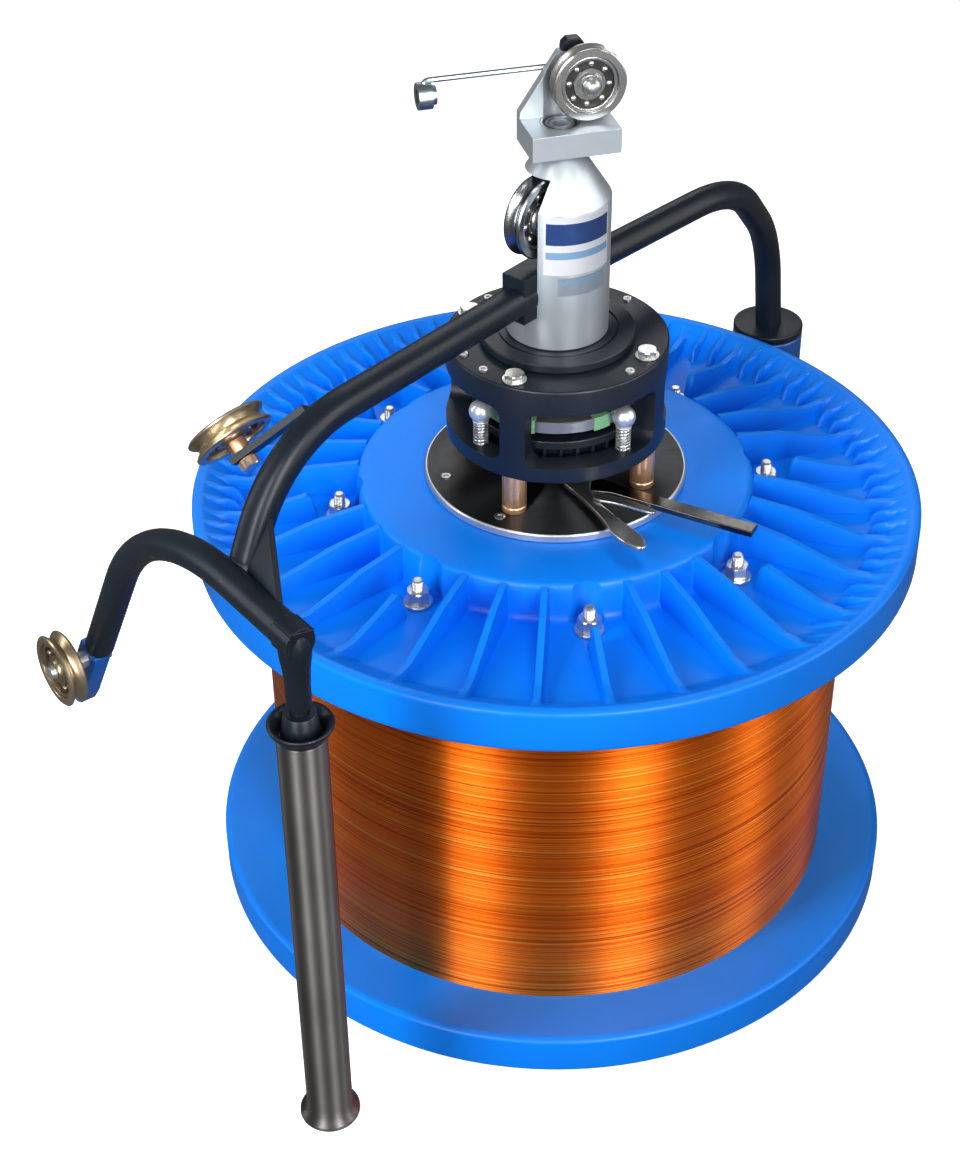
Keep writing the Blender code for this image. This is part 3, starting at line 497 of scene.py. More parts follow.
PLATE_STEEL = finish_of("turned dark plate", (0.044, 0.048, 0.052), (0.062, 0.066, 0.070), (0.40, 0.46), 1.0,
                        grain=26.0, bump=0.0, brush=0.9)
EDGE_STEEL = finish_of("bright edge", (0.52, 0.53, 0.54), (0.64, 0.65, 0.66), (0.30, 0.40), 0.85)
ZINC = finish_of("zinc plate", (0.54, 0.55, 0.53), (0.68, 0.68, 0.65), (0.26, 0.36), 0.9, grain=90.0)
BRONZE = finish_of("bronze pillars", (0.62, 0.33, 0.18), (0.76, 0.44, 0.26), (0.30, 0.40), 0.85)
YELLOW = finish_of("yellow zinc plate", (0.36, 0.28, 0.17), (0.54, 0.46, 0.33), (0.28, 0.36), 0.95,
                   grain=40.0, bump=0.0)
# The yellow pulleys' races, balls and boss: the same yellow plate, painted darker as shade inside the pulley.
YELLOW_IN_SHADE = finish_of("yellow plate with painted shade", (0.24, 0.19, 0.12), (0.34, 0.28, 0.18), (0.30, 0.38), 0.9,
                        bump=0.0)
CHROME = finish_of("chrome", (0.42, 0.42, 0.42), (0.48, 0.48, 0.47), (0.25, 0.27), 0.95, bump=0.0)
# The post pulley's rim: the same chrome as the other pulleys, painted darker as shade.
CHROME_IN_SHADE = finish_of("chrome with painted shade", (0.20, 0.21, 0.22), (0.26, 0.27, 0.28), (0.24, 0.26), 1.0, bump=0.0)
# The pliers' body is chrome like its handle; its base colour is painted dark, a painted reflection standing
# for the dark top the chrome shows.
PLIERS_DARK_REFLECTION = finish_of("pliers chrome with painted dark reflection", (0.085, 0.080, 0.076), (0.12, 0.114, 0.108), (0.16, 0.24), 1.0,
                  bump=0.0)
BALL = finish_of("satin ball heads", (0.62, 0.66, 0.70), (0.72, 0.75, 0.78), (0.28, 0.36), 0.7, bump=0.0)
ROD = finish_of("plain steel rod", (0.22, 0.26, 0.29), (0.30, 0.34, 0.37), (0.28, 0.36), 0.9, bump=0.0)
ALUMINIUM = finish_of("milled aluminium", (0.40, 0.45, 0.485), (0.48, 0.525, 0.555), (0.38, 0.46), 0.72,
                      grain=40.0, stretch=26.0, bump=0.03, depth=0.00012)
DISC = finish_of("brake disc steel", (0.34, 0.34, 0.33), (0.44, 0.44, 0.43), (0.34, 0.44), 0.8)
TAPE = finish_of("green tape", (0.22, 0.52, 0.26), (0.30, 0.62, 0.34), (0.45, 0.6), grain=70.0)
PAPER = finish_of("white label", (0.62, 0.64, 0.66), (0.68, 0.69, 0.70), (0.32, 0.42))
BLUE_INK = finish_of("blue label band", (0.008, 0.035, 0.14), (0.012, 0.05, 0.19), (0.32, 0.42))
PALE_INK = finish_of("pale label band", (0.16, 0.30, 0.46), (0.20, 0.36, 0.54), (0.32, 0.42))
FOIL = finish_of("silver sticker", (0.34, 0.39, 0.44), (0.40, 0.45, 0.50), (0.30, 0.40), 0.5)
# Near-black painted shade for the insides of bearings: the sheet between each pulley's races and the head
# bearing's seal.
SHADE = finish_of("painted bearing shade", (0.010, 0.010, 0.010), (0.020, 0.019, 0.018), (0.4, 0.5), 0.2)


def copper_finish():
    """Enamelled wire: fine turns that run round the winding, with painted shade between them and painted
    glints on them, and a slight wander in hue.
    """
    paint, tree, shader = nodes_of("enamelled copper wire")
    strands = add_noise(tree, 1.0, 5.0, (1.5, 1.5, 950.0))
    courses = add_noise(tree, 1.0, 3.0, (1.5, 1.5, 900.0))
    # The darkest stop is painted shade between the turns and the lightest is a painted glint on them; the two
    # middle stops are the copper's own tone.
    painted_gap_shade, deep = (0.26, 0.024, 0.001), (0.82, 0.125, 0.005)
    bright, painted_glint = (0.97, 0.21, 0.012), (1.00, 0.40, 0.07)
    add_ramp(tree, strands, shader.inputs["Base Color"],
             ((0.30, painted_gap_shade), (0.42, deep), (0.58, bright), (0.68, painted_glint)))
    add_range(tree, courses, shader.inputs["Roughness"], (0.35, 0.42))
    add_bump(tree, shader, strands, 0.30, 0.0004)
    add_brush(tree, shader, 0.92)
    shader.inputs["Metallic"].default_value = 1.0
    shader.inputs["Coat Weight"].default_value = 0.10
    shader.inputs["Coat Roughness"].default_value = 0.2
    return paint


COPPER = copper_finish()


# ---------------------------------------------------------------- the spool
RIB_FOOT = (0.0050, 0.0042, 0.0034, 0.0029, 0.0024)
SMALL_RIB_FOOT = (0.0036, 0.0026, 0.0019, 0.0010)


def across(half, middle=()):
    """Distances on both sides of a rib's middle line."""
    return [-x for x in half] + list(middle) + list(reversed(half))


def rib_top(r):
    """The height of the long ribs' tops above the rim's plane."""
    knots = ((0.152, 0.0112), (0.170, 0.0082), (0.190, 0.0052), (0.215, -0.0022), (0.240, -0.0085),
             (0.258, -0.0065), (0.272, -0.0008))
    for (r0, z0), (r1, z1) in zip(knots, knots[1:]):
        if r <= r1:
            return z0 + (z1 - z0) * max(0.0, (r - r0) / (r1 - r0))
    return knots[-1][1]


def rib_lines():
    """Lines of points that run out from the hub: number, azimuth, offset across a rib, and its kind."""
    pitch = 360.0 / RIBS
    lines = []
    for k in range(RIBS):
        az = BOLT_AZ + k * pitch
        lines += [(k, az, offset, "long") for offset in across(RIB_FOOT, (0.0,))]
        lines += [(k, az + pitch / 3.0, offset, "short") for offset in across(SMALL_RIB_FOOT)]
        lines.append((k, az + pitch * 0.5, 0.0, "open"))
        lines += [(k, az + pitch * 2.0 / 3.0, offset, "short") for offset in across(SMALL_RIB_FOOT)]
    return lines


def flange_rows():
    """The upper flange's section as (r, z, ribbed): from the bore over the dish to the rim and back."""
    hub = 0.012
    floor = -0.018
    under = -0.025
    disc = [(SPOOL_BORE_R, hub - 0.0012), (0.037, hub), (0.101, hub), (0.140, hub), (0.148, hub),
            (0.150, hub - 0.0004), (0.1513, hub - 0.0015), (0.152, hub - 0.0032)]
    wall = [(0.1526, 0.004), (0.1532, -0.004), (0.1540, -0.012), (0.1552, -0.0160), (0.1575, -0.0175)]
    rows = [(r, z, False) for r, z in disc] + [(r, z, True) for r, z in wall]
    rows += [(0.160 + 0.004 * k, floor, True) for k in range(20)]
    rows += [(0.2385, floor, True), (0.2410, floor, True), (0.2435, floor + 0.0003, True)]
    slope = (0.05, 0.17, 0.3, 0.43, 0.56, 0.69, 0.82, 0.92)
    rows += [(0.246 + 0.026 * t, floor * (1.0 - t), True) for t in slope]
    rim = [(0.2715, -0.0006), (0.2732, 0.0), (0.2775, 0.0), (0.2791, -0.0005), (0.2798, -0.0016),
           (FLANGE_R, -0.0040), (FLANGE_R, -0.0305), (0.2795, -0.0328), (0.2782, -0.0335), (0.2765, -0.0330),
           (0.276, -0.0310), (0.276, -0.0255), (0.2745, under), (0.1435, under), (0.1375, 0.005),
           (SPOOL_BORE_R, 0.005)]
    return rows + [(r, z, False) for r, z in rim]


def ribbed_height(r, z, number, az, offset, kind):
    """The height of the dish at a point, with the rib that stands there."""
    if kind == "long":
        inner_end = 1.0 if number % 4 else step(0.1865, 0.1885, r)
        share = (1.0 - step(0.0024, 0.0042, abs(offset))) * inner_end
        return z + max(rib_top(r) - z, 0.0) * share
    if kind == "short":
        share = 1.0 - step(0.0010, 0.0026, abs(offset))
        from_front = abs((az + 90.0 + 180.0) % 360.0 - 180.0)
        fade = step(0.2405, 0.2465, r) * (1.0 - step(0.264, 0.272, r)) * step(38.0, 72.0, from_front)
        return min(z + 0.0100 * fade * share, max(z, -0.30 * (0.2725 - r)))
    return z


def upper_flange():
    lines = rib_lines()
    rows = flange_rows()
    verts = []
    for r, z, ribbed in rows:
        for number, line_az, offset, kind in lines:
            az = line_az + math.degrees(offset / max(r, 0.150))
            height = ribbed_height(r, z, number, az, offset, kind) if ribbed else z
            verts.append(polar(r, az, SPOOL_H + height))
    faces = []
    count = len(lines)
    for j in range(len(rows)):
        low = j * count
        high = ((j + 1) % len(rows)) * count
        for k in range(count):
            n = (k + 1) % count
            faces.append([low + k, low + n, high + n, high + k])
    flange = bare("upper_flange", (verts, faces), (BLUE,))
    niches = Shape()
    low = SPOOL_H - 0.0179
    for k in range(BOLTS):
        niche = [(0.0, low), (0.0165, low), (0.0178, low + 0.0015), (0.0190, 0.380), (0.0, 0.380)]
        niches.put(lathe(niche, 40), matrix=Matrix.Translation(polar(BOLT_R, BOLT_AZ + 45.0 * k)))
    carve(flange, niches)
    dress(flange, "spool", "spool_blue", ("spool_flange_upper",), sharp=50.0)


def lower_flange():
    profile = [(SPOOL_BORE_R, 0.0), (0.151, 0.0), (0.155, 0.018), (0.246, 0.018), (0.272, 0.001),
               (0.273, 0.0), (FLANGE_R, 0.0), (FLANGE_R, 0.0315), (0.2760, 0.0335), (0.2640, 0.0318),
               (0.2350, 0.0285), (0.183, 0.0252), (0.152, 0.0250), (0.145, 0.007), (SPOOL_BORE_R, 0.007)]
    piece("lower_flange", lathe(rounded(profile, 0.0045, 5), 224), BLUE, "spool", "spool_blue",
          ("spool_flange_lower",), sharp=50.0)


def winding():
    """Turns of wire in a slightly uneven outer course, a little thinner at both flanges."""
    rows = 150
    around = 200
    low, high = 0.0256, 0.3324
    rings = []
    for j in range(rows + 1):
        z = low + (high - low) * j / rows
        edge = min(step(0.0, 0.012, z - low), step(0.0, 0.012, high - z))
        course = []
        for k in range(around):
            az = 360.0 * k / around
            wander = noise.noise(polar(1.2, az, z * 42.0))
            course.append(polar(0.2295 + 0.00003 * wander + 0.0004 * edge, az, z))
        rings.append(course)
    for z in (high, low):
        rings.append([polar(BARREL_R, 360.0 * k / around, z) for k in range(around)])
    verts = [v for course in rings for v in course]
    faces = []
    for j in range(len(rings)):
        base = j * around
        above = (j + 1) % len(rings) * around
        for k in range(around):
            n = (k + 1) % around
            faces.append([base + k, base + n, above + n, above + k])
    piece("copper_winding_turns", (verts, faces), COPPER, "spool", "enamelled_copper", ("copper_winding",),
          sharp=60.0)


def tie_bolts():
    """Washer, nut and threaded end of each tie bolt, standing in its niche."""
    seat, nut_foot, nut_top, end = 0.3403, 0.3424, 0.3523, 0.3600
    thread = [(0.0, nut_top - 0.0003)]
    for k in range(7):
        z = nut_top - 0.0003 + 0.0012 * k
        thread += [(0.0043, z), (0.0037, z + 0.0006)]
    thread += [(0.0038, end + 0.0006), (0.0028, end + 0.0013), (0.0, end + 0.0013)]
    for k in range(BOLTS):
        shape = Shape()
        shape.put(lathe(rounded(rod(0.0110, seat, nut_foot), 0.0006), 32))
        shape.put(nut(0.0152, nut_foot, nut_top, 14.0 * k))
        shape.put(lathe(thread, 24))
        shape.put(lathe(rod(0.0040, 0.3345, 0.3405), 20))
        piece(f"tie_bolt_set_{k + 1}", shape, ZINC, "spool", "zinc", (f"tie_bolt_{k + 1}",),
              beside(BOLT_R, BOLT_AZ + 45.0 * k), sharp=28.0)


def hub_plate():
    """The dark turned plate on the hub, its bright edge and its small screws."""
    bore, edge_r = 0.0305, 0.0985
    face = [(bore, PLATE_Z), (edge_r, PLATE_Z), (0.100, PLATE_Z + 0.0015), (0.100, PLATE_TOP - 0.0010),
            (0.0990, PLATE_TOP), (bore, PLATE_TOP)]
    edge = [(edge_r, PLATE_Z + 0.0004), (0.1002, PLATE_Z + 0.0004), (0.1002, PLATE_TOP - 0.0008),
            (0.0993, PLATE_TOP + 0.0001), (edge_r, PLATE_TOP + 0.0001)]
    head = socket_head(PLATE_TOP, 0.0042, 0.0010, 0.0020, 0.0004, 0.0008)
    shape = Shape().put(lathe(face, 192)).put(lathe(edge, 192), 2)
    for az in (-164.0, -118.0, -44.0, 76.0):
        shape.put(lathe(head, 20), 1, Matrix.Translation(polar(0.086, az)))
    piece("hub_plate_turned", shape, (PLATE_STEEL, STEEL, EDGE_STEEL), "spool", "dark_steel",
          ("hub_plate",), sharp=32.0)


def pillars():
    """Four bronze pillars, each with a groove near its foot, and the bolts that hold the housing on them."""
    low, high = PLATE_TOP + 0.0003, CAGE_Z - 0.0003
    outer, groove = 0.0092, 0.0087
    profile = [(0.0, low), (outer, low), (outer, low + 0.0045), (groove, low + 0.0050),
               (groove, low + 0.0058), (outer, low + 0.0063), (outer, high), (0.0, high)]
    for k, az in enumerate(PILLAR_AZ):
        spot = beside(PILLAR_R, az)
        piece(f"pillar_turned_{k + 1}", lathe(rounded(profile, 0.0004, 2), 40), BRONZE, "spool", "bronze",
              (f"pillar_{k + 1}",), spot)
        shape = Shape()
        shape.put(lathe(rounded(rod(0.0090, CAP_Z, CAP_Z + 0.0011), 0.0004), 28))
        shape.put(nut(M8_FLATS, CAP_Z + 0.0011, CAP_Z + 0.0055, 20.0 + 9.0 * k))
        piece(f"cage_bolt_head_{k + 1}", shape, ZINC, "spool", "zinc", (f"cage_bolt_{k + 1}",), spot,
              sharp=28.0)


# ---------------------------------------------------------------- the brake
def window_cutter(middle):
    """A solid the shape of one housing window, its corners rounded, to be cut through the wall."""
    low, high = 0.4230, 0.4680
    half = 38.2
    corner = 0.0095
    turn = math.degrees(corner / DRUM_R)
    angles = [middle - half + half * j / 6.0 for j in range(1, 12)]
    for share in (0.02, 0.08, 0.18, 0.32, 0.52, 0.75, 1.0):
        angles += [middle - (half - turn * share), middle + (half - turn * share)]
    verts = []
    faces = []
    for az in sorted(angles):
        inset = max(0.0, (abs(az - middle) - (half - turn)) / turn)
        lift = corner * (1.0 - math.sqrt(max(0.0, 1.0 - min(inset, 1.0) ** 2)))
        for r in (0.056, 0.098):
            verts += [polar(r, az, low + lift), polar(r, az, high - lift)]
    for a in range(0, len(verts) - 4, 4):
        b = a + 4
        faces += [[a, b, b + 1, a + 1], [a + 2, a + 3, b + 3, b + 2], [a, a + 2, b + 2, b],
                  [a + 1, b + 1, b + 3, a + 3]]
    last = len(verts) - 4
    faces += [[0, 1, 3, 2], [last, last + 2, last + 3, last + 1]]
    return verts, faces


def cage():
    """The housing: a drum with an inner flange at top and bottom, four windows and small screws."""
    bore, wall, roof_bore, roof, floor = 0.0125, 0.066, 0.0190, 0.478, 0.4183
    profile = [(bore, CAGE_Z), (DRUM_R, CAGE_Z), (DRUM_R, CAGE_TOP), (roof_bore, CAGE_TOP), (roof_bore, roof),
               (wall, roof), (wall, floor), (bore, floor)]
    drum = bare("brake_housing", lathe(rounded(profile, 0.0016), 128), (CAST,))
    for az in PILLAR_AZ:
        carve(drum, window_cutter(az + WINDOW_FROM_PILLAR))
    dress(drum, "spool", "satin_black", ("brake_cage",), sharp=34.0, bevel=0.0007)
    head = socket_head(CAGE_TOP, 0.0036, 0.0018, 0.0016, 0.0006, 0.0010)
    for k, az in enumerate((45.0, 135.0, -135.0, -45.0, -155.0)):
        piece(f"housing_screw_{k + 1}", lathe(head, 24), STEEL, "spool", "dark_steel",
              matrix=beside(0.0745, az))


def pressure_ring():
    """The black ring under the disc, with fins round its side."""
    low, web, high = 0.4187, 0.4235, 0.4340
    profile = [(0.0500, high), (0.0500, web), (0.0215, web), (0.0215, low + 0.0006), (0.0220, low),
               (0.0560, low), (0.0566, low + 0.0006), (0.0570, 0.4262), (0.0626, 0.4270), (0.0635, 0.4276),
               (0.0635, high - 0.0006), (0.0629, high)]
    shape = Shape().put(lathe(profile, 128))
    fin = block((0.0555, 0.0625), (-0.0011, 0.0011), (low + 0.0004, 0.4272))
    for k in range(32):
        shape.put(fin, matrix=spun(11.25 * k + 4.0))
    piece("pressure_ring_finned", shape, CAST, "spool", "satin_black", ("pressure_ring",), sharp=30.0,
          bevel=0.0003, segments=1)


def brake_disc():
    """The disc on the flyer's shaft, with strips of green tape on its rim."""
    boss, low, high = 0.018, 0.4385, 0.4480
    profile = [(0.0, 0.4125), (0.012, 0.4125), (0.012, 0.4190), (boss, 0.4190), (boss, low), (0.0590, low),
               (0.060, low + 0.0007), (0.060, high - 0.0007), (0.0592, high), (boss, high), (boss, 0.4880),
               (0.0, 0.4880)]
    shape = Shape().put(lathe(profile, 96))
    for az in (-145.0, -118.0, -62.0, 30.0, 95.0, 170.0):
        shape.put(arc_band(0.0520, 0.0604, az, az + 13.0, low - 0.0006, high + 0.0006, 8), 1)
    piece("brake_disc", shape, (DISC, TAPE), "flyer", "brushed_steel", ("brake_rotor",), sharp=30.0)


def flyer_cap():
    """The cap under the post, with a groove round its top."""
    top, floor = 0.4950, 0.4938
    profile = [(0.0, CAP_Z), (0.0572, CAP_Z), (0.058, CAP_Z + 0.0008), (0.058, floor), (0.0570, 0.4948),
               (0.0455, top), (0.0451, floor), (0.0437, floor), (0.0433, top), (0.0, top)]
    piece("flyer_cap", lathe(profile, 128), CAST, "flyer", "satin_black", ("rotor_cap",), sharp=30.0)


def adjusters():
    """Ball-headed screws, and the springs that they press."""
    low, high = 0.4233, 0.4430
    wire, coil_r, turns, steps = 0.0007, 0.0050, 7, 20
    path = []
    for j in range(turns * steps + 1):
        t = j / (turns * steps)
        path.append(polar(coil_r, 360.0 * turns * t, low + wire + (high - low - 2 * wire) * t))
    for k, az in enumerate(ADJUSTER_AZ):
        spot = beside(ADJUSTER_R, az)
        shape = Shape()
        shape.put(lathe(rod(0.0025, 0.4145, 0.4450), 24))
        shape.put(ball(0.0086, (0.0, 0.0, 0.4516), 40, 24))
        shape.put(lathe(rounded(rod(0.0036, 0.4560, 0.4596), 0.0005), 24))
        shape.put(lathe(rounded(rod(0.0060, high + 0.0001, high + 0.0012), 0.0003), 28))
        piece(f"ball_screw_{k + 1}", shape, BALL, f"adjuster_{k + 1}", "chrome",
              (f"adjuster_screw_{k + 1}",), spot)
        coil = piece(f"spring_coil_{k + 1}", tube(path, wire, 8), ZINC, "spool", "brushed_steel",
                     (f"adjuster_spring_{k + 1}",), spot)
        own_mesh(coil)


# ---------------------------------------------------------------- the flyer
def column():
    """The post: a turned bar with a cone and spigot, a flat milled for the pulley and a bore for the wire."""
    foot, cone, shoulder, top = 0.4953, 0.6036, 0.6372, 0.6550
    profile = [(0.0, foot), (POST_R - 0.0007, foot), (POST_R, foot + 0.0009), (POST_R, cone - 0.0014),
               (0.0370, cone), (0.0150, shoulder), (0.0142, shoulder + 0.0005), (0.0080, shoulder + 0.0005),
               (0.0080, top - 0.0005), (0.0076, top), (0.0, top)]
    post = bare("milled_post", lathe(profile, 160), (ALUMINIUM,))
    carve(post, block((-0.06, 0.06), (-0.06, 0.010), (0.520, 0.623)), ABOUT @ spun(LEFT_AZ))
    carve(post, lathe(rod(0.0055, 0.60, 0.70), 32))
    dress(post, "flyer", "aluminium", ("post",), sharp=30.0, bevel=0.0005)


def labels():
    """A plain label with two bands and a plain sticker with one, wrapped on the post."""
    inner = POST_R - 0.0005
    label = Shape()
    label.put(arc_band(inner, 0.03775, -106.0, -24.0, 0.5565, 0.6015, 40), 0)
    label.put(arc_band(inner, 0.03785, -103.5, -26.5, 0.5800, 0.5965, 40), 1)
    label.put(arc_band(inner, 0.03785, -103.5, -26.5, 0.5690, 0.5745, 40), 2)
    piece("post_label", label, (PAPER, BLUE_INK, PALE_INK), "flyer", "aluminium", sharp=30.0)
    sticker = Shape()
    sticker.put(arc_band(inner, 0.03770, -90.0, -30.0, 0.5400, 0.5545, 30), 0)
    sticker.put(arc_band(inner, 0.03780, -88.0, -32.0, 0.5490, 0.5515, 30), 1)
    piece("post_sticker", sticker, (FOIL, PALE_INK), "flyer", "aluminium", sharp=30.0)


def branch_point(s, z):
    """A point of the cross tube's plane, s metres out from the roller's axis."""
    return ROLLER + polar(s, BRANCH_AZ, z)


def left_arm():
    """The weldment: bent arm, block on the post, cross tube, gusset, and the roller's socket and shaft."""
    shape = Shape()
    arm = [polar(0.030, LEFT_AZ, BAR_Z), polar(0.287, LEFT_AZ, BAR_Z), polar(0.330, LEFT_AZ, 0.448)]
    shape.put(tube(rounded_path(arm, 0.096, 20), ARM_TUBE_R, 32, 2.5, polar(1.0, LEFT_AZ + 90.0)))
    branch = [branch_point(-0.008, BRANCH_Z), branch_point(0.186, BRANCH_Z), branch_point(0.2965, 0.2665)]
    shape.put(tube(rounded_path(branch, 0.190, 24), ARM_TUBE_R, 32, 2.2, polar(1.0, BRANCH_AZ + 90.0)))
    socket = ((0.404, 0.0085), (0.420, 0.0085), (0.434, 0.0092), (0.446, 0.0108), (0.4560, 0.0112),
              (0.4640, 0.0085))
    shaft = ((0.010, 0.005), (0.011, 0.006), (0.406, 0.006))
    for stations, sides in ((socket, 28), (shaft, 20)):
        shape.put(tube([ROLLER + UP * z for z, r in stations], [r for z, r in stations], sides))
    foot = polar(0.328, LEFT_AZ, BRANCH_Z)
    near = branch_point(0.012, BRANCH_Z)
    shape.put(plate([polar(0.300, LEFT_AZ, 0.500), foot, near], 0.005))
    for spot in (foot, near):
        shape.put(ball(0.0115, spot, 24, 14))
    facet = [polar(0.0128, 90.0 * k + 4.0) for k in range(4)]
    end = Matrix.Translation(branch_point(-0.0085, BRANCH_Z)) @ turned(polar(1.0, BRANCH_AZ))
    shape.put(prism(facet, 0.0, 0.020), matrix=end)
    shape.put(block((-0.026, 0.050), (-0.011, 0.0097), (0.5203, 0.556)), matrix=spun(LEFT_AZ))
    piece("left_arm_weldment", shape, BLACK, "flyer", "satin_black", ("arm_left",), sharp=34.0, bevel=0.0009)


def right_arm():
    """The bent tube that carries the counterweight, down to the weight's cap."""
    foot = WEIGHT + UP * 0.3523
    elbow = WEIGHT.normalized() * 0.3064 + UP * 0.4415
    root = polar(0.0269, RIGHT_AZ, BAR_Z - 0.003) + polar(-0.003, LEFT_AZ + 90.0)
    path = [root, polar(0.2134, RIGHT_AZ, BAR_Z - 0.006), elbow, foot]
    piece("right_arm_tube", tube(rounded_path(path, 0.120, 18), ARM_TUBE_R, 32, 2.2), BLACK, "flyer",
          "satin_black", ("arm_right",), sharp=50.0)


def counterweight():
    spot = ABOUT @ Matrix.Translation(WEIGHT)
    radius = 0.030
    cap = rounded(rod(radius, 0.3453, 0.352), 0.0014)
    piece("weight_cap", lathe(cap, 72), BLACK, "flyer", "satin_black", ("counterweight_cap",), spot)
    body = rounded(rod(radius, 0.230, 0.345), 0.002)
    piece("weight_body", lathe(body, 72), LUG_BLUE, "flyer", "lug_blue", ("counterweight",), spot)


def roller():
    """The long sleeve with its flared foot and black mouth, and the collar that its mouth turns round."""
    spot = ABOUT @ Matrix.Translation(ROLLER)
    bore, sleeve_r, lip_r, top = 0.0065, 0.0170, 0.0223, 0.3800
    sleeve = [(bore, 0.010), (0.0150, 0.010), (0.0218, 0.0103), (lip_r, 0.0112), (0.0222, 0.0138),
              (0.0196, 0.0162), (0.0176, 0.0200), (sleeve_r, 0.0260), (sleeve_r, top - 0.001), (0.0160, top),
              (bore, top)]
    mouth = [(0.0148, 0.3798), (0.0171, 0.3798), (0.0176, 0.3815), (0.0192, 0.3846), (0.0218, 0.3872),
             (lip_r, 0.3884), (lip_r, 0.3898), (0.0216, 0.3905), (0.0204, 0.3903), (0.0188, 0.3888),
             (0.0166, 0.3858), (0.0152, 0.3830)]
    shape = Shape().put(lathe(sleeve, 96)).put(lathe(mouth, 96), 1)
    piece("roller_sleeve", shape, (ROLLER_STEEL, BLACK), "roller", "brushed_steel", ("guide_roller",), spot,
          sharp=38.0)
    foot, rim = heights("roller_collar")
    collar = [(bore, foot), (0.0140, foot), (0.0142, foot + 0.0008), (0.0142, foot + 0.0030),
              (0.0112, rim - 0.0008), (0.0106, rim), (bore, rim)]
    piece("roller_collar_turned", lathe(collar, 64), BLACK, "flyer", "satin_black", ("roller_collar",), spot,
          sharp=30.0)


def both_sides(shares, radius, half, middle=()):
    """A profile that is the same on both sides of z = 0, from shares of a radius and of a half width."""
    low = [(r * radius, -z * half) for r, z in shares]
    return low + list(middle) + [(r, -z) for r, z in reversed(low)]


def grooved(node, axis, radius, width, paint, inner_paint, body, finish):
    """A pulley: polished groove, a dished web, then the bearing's races, cage and balls; the cage is a sheet
    of near-black painted shade, and the inner paint is the plate painted darker as shade on the yellow
    pulleys.
    """
    half = 0.5 * width
    rim = ((0.77, 0.60), (0.785, 0.94), (0.80, 1.0), (0.96, 1.0), (1.0, 0.86), (1.0, 0.72), (0.95, 0.50),
           (0.86, 0.22))
    boss = ((0.0046 / radius, 0.92), (0.30, 0.92), (0.33, 0.80), (0.35, 0.6), (0.43, 0.6), (0.44, 0.5))
    race = both_sides(((0.675, 0.74), (0.772, 0.74)), radius, half)
    shape = Shape()
    shape.put(lathe(both_sides(rim, radius, half, ((0.835 * radius, 0.0),)), 96))
    shape.put(lathe(rounded(race, 0.0006), 64), 1)
    # The cage: a near-black sheet of painted shade between the races.
    shape.put(lathe(both_sides(((0.30, 0.20), (0.69, 0.20)), radius, half), 48), 2)
    for k in range(8):
        for side in (-1.0, 1.0):
            spot = polar(0.555 * radius, 45.0 * k + 12.0, side * half * 0.20)
            shape.put(ball(0.098 * radius, spot, 16, 10), 1)
    shape.put(lathe(both_sides(boss, radius, half), 48), 1)
    place = Matrix.Translation(middle_of(node)) @ turned(axis)
    piece(node + "_turned", shape, (paint, inner_paint, SHADE), body, finish, (node,), place, sharp=34.0)


def pulleys():
    small, large = (0.026, 0.013), (0.029, 0.014)
    guide_axis = polar(1.0, BRANCH_AZ + 90.0)
    sets = (
        ("top_pulley", polar(1.0, HEAD_AZ - 90.0), small, CHROME, CHROME, "top_wheel", "chrome"),
        # The post pulley's rim is chrome painted darker as shade.
        ("post_pulley", polar(1.0, LEFT_AZ + 90.0), large, CHROME_IN_SHADE, CHROME, "post_wheel", "chrome"),
        # The yellow pulleys' insides are yellow plate painted darker as shade.
        ("mid_pulley", MID_AXIS, large, YELLOW, YELLOW_IN_SHADE, "mid_wheel", "yellow_zinc"),
        ("guide_pulley", guide_axis, large, YELLOW, YELLOW_IN_SHADE, "guide_wheel", "yellow_zinc"),
    )
    for node, axis, (radius, width), paint, inner_paint, body, finish in sets:
        grooved(node, axis, radius, width, paint, inner_paint, body, finish)


def small_parts():
    """The CAD nodes whose own shapes are right as they are, apart from their sharp corners."""
    plain = (
        ("spool_barrel", BLUE, "spool", "spool_blue", 0.0),
        ("mandrel", STEEL, "spool", "brushed_steel", 0.0005),
        # The pliers' body: chrome with its colour painted dark as a painted reflection.
        ("pliers_body", PLIERS_DARK_REFLECTION, "spool", "dark_steel", 0.0008),
        ("post_bolt", STEEL, "flyer", "brushed_steel", 0.0004),
        ("guide_bolt", ZINC, "flyer", "zinc", 0.0004),
        ("mid_bracket", BLACK, "flyer", "satin_black", 0.0008),
        ("mid_bolt", BRONZE, "flyer", "bronze", 0.0004),
        ("head_bracket", ALUMINIUM, "head", "aluminium", 0.0009),
        ("top_bolt", STEEL, "head", "brushed_steel", 0.0004),
        ("guide_rod", ROD, "head", "brushed_steel", 0.0002),
        ("wire_keeper", BLACK, "head", "satin_black", 0.0006),
    )
    for node, paint, body, finish, bevel in plain:
        refined(node, paint, body, finish, bevel)


def bearing():
    """The head's ball bearing on the post's spigot: two races and a seal in near-black painted shade."""
    low, top = heights("head_bearing")
    outer_race = rounded(ring(0.0122, 0.0139, low, top), 0.0004)
    inner_race = rounded(ring(0.0083, 0.0102, low, top), 0.0004)
    # The seal is coloured with the near-black painted shade.
    seal = ring(0.0100, 0.0124, low + 0.0006, top - 0.0007)
    shape = Shape().put(lathe(outer_race)).put(lathe(seal), 1).put(lathe(inner_race))
    piece("head_bearing_races", shape, (STEEL, SHADE), "head", "brushed_steel", ("head_bearing",), sharp=30.0)


